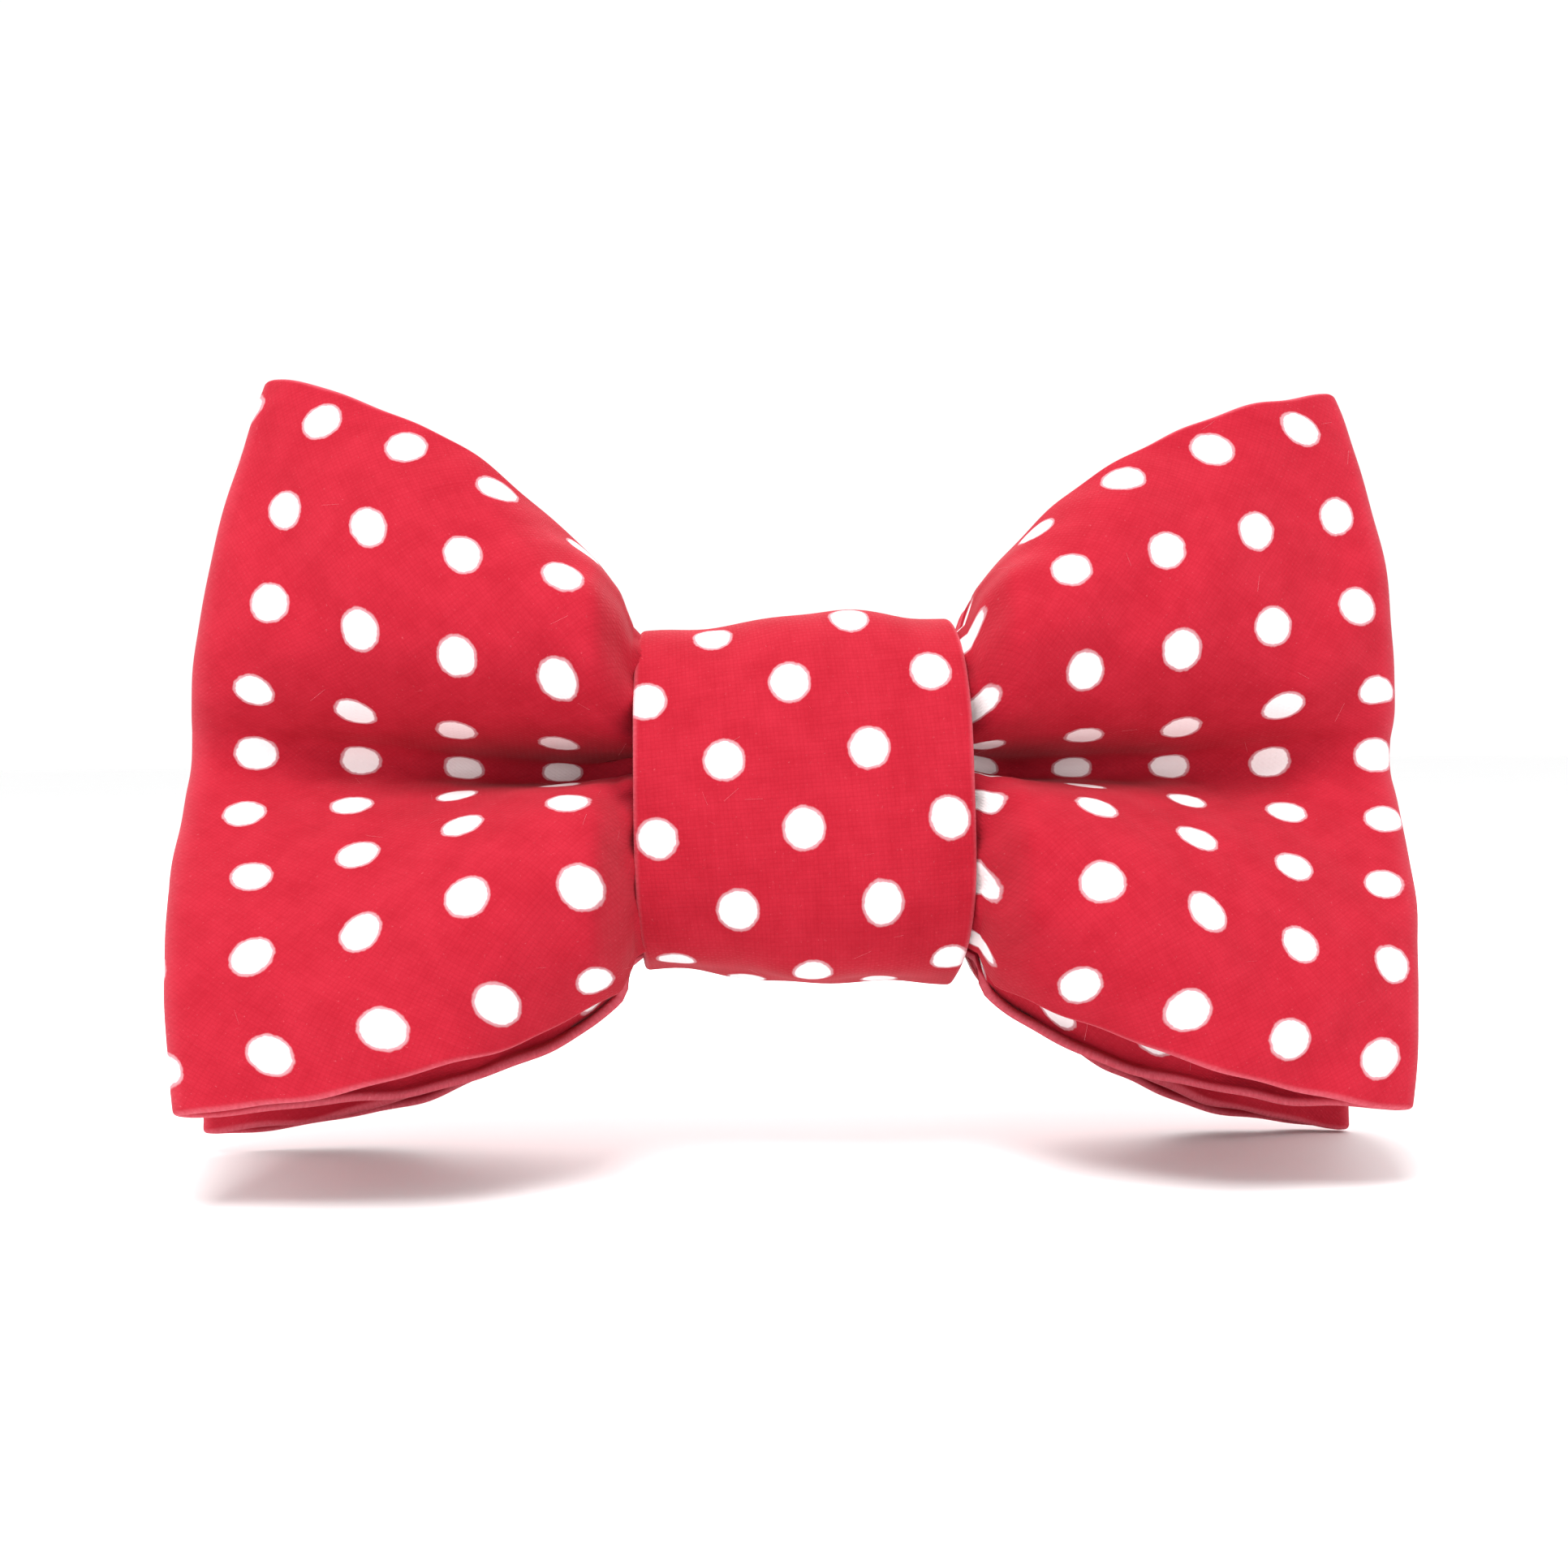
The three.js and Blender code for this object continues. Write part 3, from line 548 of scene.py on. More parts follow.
@dataclass
class Strip:
    """A strip of cloth with rounded long edges, made solid from its middle surface.

    Attributes:
        name: the piece's name.
        middle: the middle surface, stations by places across by x, depth, height, in millimetres.
        along: the cloth's length at each station and place, in millimetres.
        across: the cloth's width at each place, in millimetres.
        thickness: in millimetres.
        rounding: how far the long edges' rounding reaches in, in millimetres.
        folds: how creased each station is, from 0 to 1.
    """

    name: str
    middle: np.ndarray
    along: np.ndarray
    across: np.ndarray
    thickness: float
    rounding: float = 0.6
    folds: np.ndarray | None = None

    def normals(self) -> np.ndarray:
        """The middle surface's unit normals."""
        side = np.cross(np.gradient(self.middle, axis=0), np.gradient(self.middle, axis=1))
        return side / np.linalg.norm(side, axis=-1, keepdims=True)

    def build(self, material: bpy.types.Material) -> bpy.types.Object:
        """Makes the solid strip with its cloth UV map.

        Args:
            material: its finish.

        Returns:
            The piece.
        """
        stations, places = self.along.shape
        edge = np.minimum(self.across - self.across[0], self.across[-1] - self.across)
        inward = np.clip(edge / self.rounding, 0, 1)
        half = self.thickness / 2 * np.sqrt(1 - (1 - inward) ** 2)
        offset = self.normals() * half[None, :, None]
        rings = np.concatenate([self.middle + offset, (self.middle - offset)[:, -2:0:-1]], axis=1)
        around = rings.shape[1]
        points = TIE.place(rings).reshape(-1, 3)
        station = np.repeat(np.arange(stations - 1), around)
        place = np.tile(np.arange(around), stations - 1)
        following = (place + 1) % around
        low, high = station * around, (station + 1) * around
        quads = np.stack([low + place, low + following, high + following, high + place], axis=1)
        columns = np.concatenate([np.arange(places), np.arange(places - 2, 0, -1)])
        width_at = [self._width(columns, place, 0), self._width(columns, place, 1)]
        length_low = [self.along[station, columns[place]], self.along[station, columns[following]]]
        length_high = [self.along[station + 1, columns[place]], self.along[station + 1, columns[following]]]
        corners = np.stack([
            np.stack([length_low[0], width_at[0]], -1), np.stack([length_low[1], width_at[1]], -1),
            np.stack([length_high[1], width_at[1]], -1), np.stack([length_high[0], width_at[0]], -1)], axis=1)
        caps = [[base + j, base + j + 1, base + around - j - 1, base + (around - j) % around]
                for base in (0, (stations - 1) * around) for j in range(1, places - 2)]
        if volume_of(points, quads) < 0:
            quads, corners = quads[:, ::-1], corners[:, ::-1]
        mesh = bpy.data.meshes.new(self.name)
        mesh.from_pydata(points.tolist(), [], quads.tolist() + self._facing_out(caps, points, stations))
        uv = mesh.uv_layers.new(name="cloth").data
        flat = np.zeros((len(uv), 2))
        flat[: corners.size // 2] = corners.reshape(-1, 2) * MM
        uv.foreach_set("uv", flat.ravel())
        worn = np.broadcast_to(smooth(edge, self.rounding, 0.0)[None, :], (stations, places)).copy()
        if self.folds is not None:
            worn = np.maximum(worn, self.folds)
        attribute = mesh.attributes.new("fold", "FLOAT", "POINT")
        attribute.data.foreach_set("value", worn[:, columns].astype(np.float32).ravel())
        mesh.update()
        return link_object(self.name, mesh, material)

    def _width(self, columns: np.ndarray, place: np.ndarray, step: int) -> np.ndarray:
        """The cloth's width at one side of each face, carried on round the band's edges.

        Args:
            columns: the place across of each point round the strip.
            place: the number of each face round the strip.
            step: 0 for the face's first side and 1 for its second.

        Returns:
            Widths in millimetres of cloth.
        """
        around = len(columns)
        places = (around + 2) // 2
        column = columns[(place + step) % around]
        other = columns[(place + 1 - step) % around]
        width = self.across[column]
        behind = place >= places - 1
        upper = self.across[column] + self.across[other] > 0
        carried = np.where(upper, 2 * self.across[-1] - width, 2 * self.across[0] - width)
        return np.where(behind, carried, width)

    def _facing_out(self, caps: list, points: np.ndarray, stations: int) -> list:
        """Turns the end faces to look away from the strip.

        Args:
            caps: the faces, as lists of point numbers.
            points: the strip's points.
            stations: how many stations the strip has.

        Returns:
            The faces, each in the right order.
        """
        around = len(points) // stations
        turned = []
        for cap in caps:
            inner = around if cap[0] < around else -around
            corners = points[cap]
            side = np.cross(corners[2] - corners[0], corners[3] - corners[1])
            away = corners.mean(0) - points[[c + inner for c in cap]].mean(0)
            turned.append(cap if side @ away > 0 else cap[::-1])
        return turned


@dataclass(frozen=True)
class Tube:
    """A round wire or thread along a path, closed at both ends.

    Attributes:
        name: the piece's name.
        path: its middle line, in millimetres in the tie's frame.
        diameter: in millimetres.
        sides: how many faces go round it.
    """

    name: str
    path: np.ndarray
    diameter: float
    sides: int = 12

    def build(self, material: bpy.types.Material) -> bpy.types.Object:
        """Makes the tube with a section carried along without twist.

        Args:
            material: its finish.

        Returns:
            The piece.
        """
        line = TIE.place(self.path)
        tangent = np.gradient(line, axis=0)
        tangent /= np.linalg.norm(tangent, axis=1, keepdims=True)
        normal = np.cross(tangent[0], (0.3, 0.5, 0.8))
        rows = []
        for point, direction in zip(line, tangent):
            normal = normal - direction * (normal @ direction)
            normal /= np.linalg.norm(normal)
            binormal = np.cross(direction, normal)
            angle = np.linspace(0, 2 * math.pi, self.sides, endpoint=False)[:, None]
            rows.append(point + (np.cos(angle) * normal + np.sin(angle) * binormal) * self.diameter / 2 * MM)
        points = np.concatenate(rows)
        count, sides = len(rows), self.sides
        turned = [(j, (j + 1) % sides) for j in range(sides)]
        faces = [(i * sides + j, i * sides + k, (i + 1) * sides + k, (i + 1) * sides + j)
                 for i in range(count - 1) for j, k in turned]
        ends = [tuple(reversed(range(sides))), tuple(range((count - 1) * sides, count * sides))]
        mesh = bpy.data.meshes.new(self.name)
        mesh.from_pydata(points.tolist(), [], faces + ends)
        return link_object(self.name, mesh, material)


# ---------------------------------------------------------------- the looped bows


@dataclass(frozen=True)
class Lobe:
    """One puffed half of a wing, from the valley to the band's edge. Lengths are in millimetres.

    Attributes:
        cloth: width of cloth from the valley to the edge.
        crest: share of the cloth between valley and crest beside the wrap.
        flare: share of the cloth that still rises from the valley at the outer fold.
        near_rise: how much of the cloth's lean is kept in depth beside the wrap.
        outer_rise: the same at the outer fold.
        leaving: the edge's distance from the wings' middle beside the wrap.
        corner: the same at the outer fold.
        fullness: how round the edge is: 0 is straight.
        pull: how far the corner is pulled in, as a share of the half width.
        twist: how far the corner lies back, as a share of its height.
        snap: below 1, the cloth stands up from the valley sooner.
        trough: shares of the cloth where the valley's floor ends and its wall begins.
    """

    cloth: float
    crest: float
    flare: float
    near_rise: float
    outer_rise: float
    leaving: float
    corner: float
    fullness: float
    pull: float
    twist: float
    snap: float = 1.0
    trough: tuple[float, float] = (0.0, 0.085)

    STEEPEST = 1.6  # radians
    SAMPLES = 81

    def edge(self, share: np.ndarray) -> np.ndarray:
        """The edge's distance from the wings' middle at each share of the wing."""
        opened = mix(share, 1 - (1 - share) ** 3, self.fullness)
        return mix(self.leaving, self.corner, opened)

    def section(self, share: np.ndarray, target: np.ndarray,
                places: np.ndarray) -> tuple[np.ndarray, np.ndarray]:
        """Bends the cloth's width so that it spans a target height without stretching.

        Args:
            share: shares of the wing from the wrap to the outer fold.
            target: the height to span at each share.
            places: shares of the cloth from the valley to the edge.

        Returns:
            Heights and rises in depth, shares by places.
        """
        u = np.linspace(0, 1, self.SAMPLES)
        gathered = np.cos(math.pi / 2 * (u / self.crest) ** self.snap)
        opened = np.exp(-((u / self.flare) ** 2))
        trough = smooth(u, *self.trough)
        lean = mix(opened[None], gathered[None], ((1 - share) ** 1.55)[:, None]) * mix(trough, 1.0, 0.12)
        target = np.clip(target, 1.0, self.cloth * 0.995)
        low, high = np.zeros(len(share)), np.full(len(share), 6.0)
        for _ in range(40):
            guess = (low + high) / 2
            angle = self.STEEPEST * np.tanh(guess[:, None] * lean / self.STEEPEST)
            spanned = self._sum(np.cos(angle))[:, -1]
            low = np.where(spanned > target, guess, low)
            high = np.where(spanned > target, high, guess)
        heights, rises = self._sum(np.cos(angle)), self._sum(np.sin(angle))
        rises = rises * mix(self.near_rise, self.outer_rise, share)[:, None]
        return tuple(np.array([np.interp(places, u, row) for row in table]) for table in (heights, rises))

    def _sum(self, rate: np.ndarray) -> np.ndarray:
        """The running length of a rate along the cloth's width."""
        steps = (rate[:, 1:] + rate[:, :-1]) / 2 * self.cloth / (self.SAMPLES - 1)
        return np.concatenate([np.zeros((len(rate), 1)), np.cumsum(steps, axis=1)], axis=1)


class Facing(Enum):
    """The side on which a bow's puffed layer lies."""

    FRONT = -1
    BACK = 1


@dataclass(frozen=True)
class LoopedBow:
    """A flattened cotton tube looped into two wings, with a stiffener inside it. Millimetres.

    Attributes:
        prefix: front or rear.
        facing: the side of its puffed layer.
        upper: its upper lobes.
        lower: its lower lobes.
        half_width: from the middle to the outer fold.
        drop: how much lower than the wings' middle it sits.
        valley_near: the puffed layer's valley beside the wrap, from front to back.
        valley_outer: the same at the outer fold.
        flat_near: the flat layer's place beside the wrap, from front to back.
        shifts: where the first spots stand on the left and right wings.
        valley_height: the valley's height beside the wrap and at the outer fold.
        thickness: of the flattened tube.
        fold_radius: the outer fold's, at the valley and at the band's edges.
        skew: how far the wings lean to one side, as a share of the height.
        droop: how much the right wing hangs lower than the left, as a share of the distance.
        gathered: how far the bundle inside the wrap reaches up and down.
        pleat: how deep the flat layer's pleats are.
        held_rise: how far a layer may rise inside the wrap.
        sink: how far the valley is pressed in beside the wrap, on the puffed and the flat layer.
        slip: how far the cloth below the valley is drawn along, on the left and right wings.
        top_slip: the same above the valley.
    """

    prefix: str
    facing: Facing
    upper: Lobe
    lower: Lobe
    half_width: float
    drop: float
    valley_near: float
    valley_outer: float
    flat_near: float
    shifts: tuple[float, float]
    valley_height: tuple[float, float] = (-1.7, -1.1)
    thickness: float = 1.0
    fold_radius: tuple[float, float] = (2.0, 0.8)
    skew: float = 0.045
    droop: float = 0.014
    gathered: tuple[float, float] = (10.0, 20.2)
    pleat: float = 3.0
    held_rise: float = 5.6
    sink: tuple[float, float] = (3.9, 3.2)
    slip: tuple[float, float] = (2.3, 1.6)
    top_slip: tuple[float, float] = (0.3, 1.7)

    WING_STEPS = 92
    FLAT_STEPS = 60
    WAIST_STEPS = 9
    FOLD_STEPS = 14
    PLEAT_PITCH = 9.0
    TUCK = 0.8
    TUCK_PITCH = 4.2

    def across(self) -> np.ndarray:
        """Places across the band, in millimetres of cloth from the valley."""
        return across_strip(-self.lower.cloth, self.upper.cloth)

    def reach(self, across: np.ndarray) -> np.ndarray:
        """Distance from the middle to the outer fold at each place across."""
        pull = np.where(across > 0, self.upper.pull, self.lower.pull)
        return self.half_width * (1 - pull * self.outwards(across)**2.2)

    def outwards(self, across: np.ndarray) -> np.ndarray:
        """Each place across as a share of its lobe, from the valley to the band's edge."""
        return np.where(across > 0, across / self.upper.cloth, -across / self.lower.cloth)

    def puffed(self, share: np.ndarray, across: np.ndarray) -> tuple[np.ndarray, np.ndarray]:
        """The puffed layer.

        Args:
            share: shares of the wing from the wrap to the outer fold.
            across: places across the band.

        Returns:
            Its depths and heights, shares by places.
        """
        valley = mix(self.valley_height[0], self.valley_height[1], share)
        above, below = across >= 0, across < 0
        top = self.upper.section(share, self.upper.edge(share) - valley, across[above] / self.upper.cloth)
        bottom = self.lower.section(share, self.lower.edge(share) + valley, -across[below] / self.lower.cloth)
        height = np.concatenate([valley[:, None] - bottom[0], valley[:, None] + top[0]], axis=1)
        rise = np.concatenate([bottom[1], top[1]], axis=1)
        base = mix(self.valley_near, self.valley_outer, share**0.9)[:, None]
        twist = np.where(height > 0, self.upper.twist, self.lower.twist)
        return base + self.facing.value * rise + twist * height * share[:, None] ** 2, height

    def half_loop(self, side: int) -> tuple[np.ndarray, np.ndarray, np.ndarray]:
        """One wing's middle surface, from the waist along the puffed layer and back along the flat one.

        Args:
            side: -1 for the left wing and 1 for the right.

        Returns:
            Points, cloth lengths and how creased each point is, stations by places across.
        """
        across = self.across()
        reach = self.reach(across)[None, :]
        radius = mix(self.fold_radius[0], self.fold_radius[1], np.abs(self.outwards(across))**1.5)[None, :]
        last_depth, last_height = self.puffed(np.array([1.0]), across)
        share = np.linspace(0, 1, self.WING_STEPS) ** 1.15
        depth, height = self.puffed(share, across)
        x = WAIST_END + share[:, None] * (reach - radius - WAIST_END)
        turn = np.linspace(0, math.pi, self.FOLD_STEPS + 2)[1:-1, None]
        fold_x = reach - radius + radius * np.sin(turn)
        fold_depth = last_depth - self.facing.value * radius * (1 - np.cos(turn))
        flat_share = np.linspace(1, 0, self.FLAT_STEPS) ** 1.1
        flat_x = WAIST_END + flat_share[:, None] * (reach - radius - WAIST_END)
        far = last_depth - self.facing.value * 2 * radius
        flat_depth, flat_height = self._flat_layer(flat_share, across, far)
        waist = np.linspace(0, 1, self.WAIST_STEPS, endpoint=False)[:, None] * WAIST_END
        waist_x = waist + np.zeros_like(reach)
        out = waist_x[::-1]
        wing = np.concatenate([
            self._stack(waist_x, np.repeat(depth[:1], len(waist), 0), np.repeat(height[:1], len(waist), 0)),
            self._stack(x, depth, height),
            self._stack(fold_x, fold_depth, np.repeat(last_height, len(turn), 0)),
            self._stack(flat_x, flat_depth, flat_height),
            self._stack(np.maximum(out, 0.3), np.repeat(flat_depth[-1:], len(out), 0),
                        np.repeat(flat_height[-1:], len(out), 0))])
        steps = np.linalg.norm(np.diff(wing, axis=0), axis=-1)
        along = np.concatenate([np.zeros((1, len(across))), np.cumsum(steps, axis=0)])
        along -= along[self.WAIST_STEPS]
        station = np.arange(len(wing)) - self.WAIST_STEPS - self.WING_STEPS
        wing = self._press_in(wing, station)
        wing = self._gather(wing)
        wing = self._settle(wing, along, across, side)
        crease = np.exp(-(((station - 6.5) / 5) ** 2))
        creased = crease[:, None] * 0.5 + np.zeros_like(along)
        wing[..., 0] *= side
        wing[..., 0] += self.skew * wing[..., 2] * smooth(np.abs(wing[..., 0]), 25, 62) ** 1.5
        wing[..., 2] -= self.droop * wing[..., 0] * smooth(np.abs(wing[..., 0]), WAIST_END, 45)
        wing[..., 2] -= self.drop
        wing_number = int(side > 0)
        slipped = self.slip[wing_number] * smooth(-across, 8, 30)
        slipped = slipped + self.top_slip[wing_number] * smooth(across, 8, 34)
        return wing, side * (along - self.shifts[wing_number] + slipped[None, :]), creased

    def _stack(self, x: np.ndarray, depth: np.ndarray, height: np.ndarray) -> np.ndarray:
        """Points from their three coordinates."""
        return np.stack(np.broadcast_arrays(x, depth, height), axis=-1).astype(float)

    def _flat_layer(self, share: np.ndarray, across: np.ndarray,
                    far: np.ndarray) -> tuple[np.ndarray, np.ndarray]:
        """The flat layer, with its pleats and its width spread evenly between the band's edges.

        Args:
            share: shares of the wing from the wrap to the outer fold.
            across: places across the band.
            far: its depth at the outer fold, at each place across.

        Returns:
            Its depths and heights, shares by places.
        """
        pleats = self.pleat * smooth(share, 0.0, 0.12) * (1 - share) ** 1.2
        fan = smooth(np.abs(across), 4, 10) * wave(across / self.PLEAT_PITCH)
        depth = mix(self.flat_near, far, smooth(share, 0.1, 1.0)[:, None]) + pleats[:, None] * fan[None, :]
        top, bottom = self.upper.edge(share), -self.lower.edge(share)
        place = (across - across[0]) / (across[-1] - across[0])
        even = mix(bottom[:, None], top[:, None], place[None, :])
        return depth, mix(even, self.puffed(share, across)[1], smooth(share, 0.75, 1.0)[:, None])

    def _press_in(self, wing: np.ndarray, station: np.ndarray) -> np.ndarray:
        """Presses the valley in beside the wrap.

        Args:
            wing: the wing's points.
            station: the number of each station, from the start of the outer fold.

        Returns:
            The same points, moved.
        """
        beside_wrap = smooth(wing[..., 0], WAIST_END - 1, WAIST_END + 5) * smooth(wing[..., 0], 56, 34)
        sunk = mix(self.sink[0], self.sink[1], smooth(station, 0, self.FOLD_STEPS))[:, None] * beside_wrap
        wing[..., 1] += sunk * np.exp(-(((wing[..., 2] + 2.5) / 6.5) ** 2))
        return wing

    def _gather(self, wing: np.ndarray) -> np.ndarray:
        """Squeezes the band into what fits inside the wrap, in small tucks that nest from layer to layer.

        Args:
            wing: the wing's points.

        Returns:
            The same points, moved.
        """
        x, height = wing[..., 0], wing[..., 2]
        inside = 1 - smooth(x, WAIST_END - 1.2, WAIST_END + 1.6)
        valley = wing[:, [np.argmin(np.abs(self.across()))], 1]
        rise = wing[..., 1] - valley
        room = np.minimum(self.held_rise / np.maximum(np.abs(rise).max(axis=1, keepdims=True), 0.01), 1)
        held = 1 - smooth(x, WAIST_END - 2, WAIST_END + 4)
        wing[..., 1] = valley + rise * mix(1.0, room, held)
        top, bottom = height.max(axis=1, keepdims=True), -height.min(axis=1, keepdims=True)
        upwards, downwards = np.minimum(self.gathered[0] / top, 1), np.minimum(self.gathered[1] / bottom, 1)
        tighter = np.where(height > 0, upwards, downwards)
        wing[..., 2] = height * mix(1.0, tighter, inside)
        wing[..., 1] += self.TUCK * inside * wave(wing[..., 2] / self.TUCK_PITCH)
        return wing

    def _settle(self, wing: np.ndarray, along: np.ndarray, across: np.ndarray, side: int) -> np.ndarray:
        """Lets the cloth wander a little, as pressed cotton does, with fine gathers beside the wrap.

        Args:
            wing: the wing's points.
            along: the cloth's length at each point.
            across: places across the band.
            side: -1 for the left wing and 1 for the right.

        Returns:
            The same points, moved.
        """
        outside = smooth(wing[..., 0], WAIST_END - 0.5, WAIST_END + 9)
        wide = across[None, :] + np.zeros_like(along)
        phase = 1.7 * side + (0.6 if self.facing is Facing.FRONT else 2.9)
        waves = ((0.36, 27.0, 41.0, 0.4), (0.26, -19.0, 23.0, 1.9), (0.16, 12.0, -15.0, 3.1),
                 (0.09, 8.0, 9.5, 5.0))
        puff = sum(size * wave(along / a + wide / b, phase * turn + turn) for size, a, b, turn in waves)
        gathers = 0.42 * np.exp(-((along / 7.0) ** 2)) * wave(wide / 7.3, phase)
        near_wrap = smooth(wing[..., 0], WAIST_END - 1.5, WAIST_END + 1.5)
        wing[..., 1] += puff * outside + gathers * near_wrap
        rim = np.exp(-(((across - across[0]) / 5) ** 2)) + np.exp(-(((across - across[-1]) / 5) ** 2))
        wander = 0.14 * wave(along / 17, phase) + 0.07 * wave(along / 8.1, 2 * phase)
        wing[..., 2] += wander * rim[None, :] * outside
        return wing

    def surface(self) -> tuple[np.ndarray, np.ndarray, np.ndarray]:
        """Both wings joined at the middle of the puffed layer, with the loop's ends meeting at the waist."""
        left, right = self.half_loop(-1), self.half_loop(1)
        return tuple(np.concatenate([a[:0:-1], b]) for a, b in zip(left, right))

    def build(self, finishes: Finishes) -> list[bpy.types.Object]:
        """Makes the cotton band and the stiffener inside it.

        Args:
            finishes: the tie's finishes.

        Returns:
            The two pieces.
        """
        points, along, folds = self.surface()
        across = self.across()
        band = Strip(self.prefix + "_bow_cloth", points, along, across, self.thickness, 0.55, folds)
        inner = np.abs(across - np.clip(across, across[0] + 3, across[-1] - 3)) < 1e-9
        rows = np.arange(2, len(points) - 2)
        core = Strip(self.prefix + "_bow_stiffener", points[rows][:, inner], along[rows][:, inner],
                     across[inner], 0.22, 0.3)
        pieces = [band.build(finishes.band), core.build(finishes.interfacing)]
        self._declare(pieces, float(across[-1] - across[0]))
        return pieces

    def _declare(self, pieces: list[bpy.types.Object], width: float) -> None:
        """Hides the frame's nodes that the two sheets stand for, and hangs the sheets on the tie's body.

        Args:
            pieces: the band and its stiffener.
            width: the band's width of cloth; not used.
        """
        for piece, node, slot, margin in (
                (pieces[0], "_bow_band", Slot.COTTON, 0.0),
                (pieces[1], "_bow_interfacing", Slot.INTERFACING, 6.5)):
            stand_for(self.prefix + node)
            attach(piece, "tie")
            (width - margin) * MM


# ---------------------------------------------------------------- what goes round the waist


@dataclass(frozen=True)
class WaistOutline:
    """The rounded line round the gathered waist, in millimetres, from the middle of the back over the top.

    Attributes:
        front: how far it reaches forward of the tie's middle.
        back: how far it reaches behind it.
        half_height: from the waist's middle to its top.
        front_square: how square its front corners are: 2 is an ellipse.
        back_square: the same for its back corners.
        middle: the depth of its highest and lowest points.
    """

    front: float = 12.9
    back: float = 8.6
    half_height: float = 17.9
    front_square: float = 2.6
    back_square: float = 5.0
    middle: float = -1.0
    POINTS = 1440

    def grown(self, by: float) -> "WaistOutline":
        """The same line, further out by that much."""
        return WaistOutline(self.front + by, self.back + by, self.half_height + by, self.front_square,
                            self.back_square, self.middle)

    def line(self) -> tuple[np.ndarray, np.ndarray]:
        """Traces the line once round.

        Returns:
            Its depths and heights, and the length along it at each point.
        """
        angle = np.linspace(0, 2 * math.pi, self.POINTS + 1)
        c, s = np.cos(angle), np.sin(angle)
        square = np.where(c > 0, self.back_square, self.front_square)
        depth_reach = np.where(c > 0, self.back - self.middle, self.front + self.middle)
        scale = (np.abs(c) ** square + np.abs(s) ** square) ** (-1 / square)
        depth, height = self.middle + depth_reach * c * scale, self.half_height * s * scale - WAIST_DROP
        flat = np.stack([depth, height], axis=-1)
        steps = np.linalg.norm(np.diff(flat, axis=0), axis=-1)
        return flat, np.concatenate([[0.0], np.cumsum(steps)])

    def at(self, length: np.ndarray, lift: Any = 0.0) -> np.ndarray:
        """Points at lengths along the line.

        Args:
            length: the lengths from the middle of the back.
            lift: how far each point is lifted off the line.

        Returns:
            Their depths and heights.
        """
        flat, run = self.line()
        wrapped = np.mod(length, run[-1])
        here, ahead, behind = (
            np.stack([np.interp(np.mod(wrapped + step, run[-1]), run, flat[:, i]) for i in (0, 1)], axis=-1)
            for step in (0.0, 0.2, -0.2))
        tangent = ahead - behind
        tangent /= np.linalg.norm(tangent, axis=-1, keepdims=True)
        outward = np.stack([tangent[..., 1], -tangent[..., 0]], axis=-1)
        return here + outward * np.asarray(lift)[..., None]


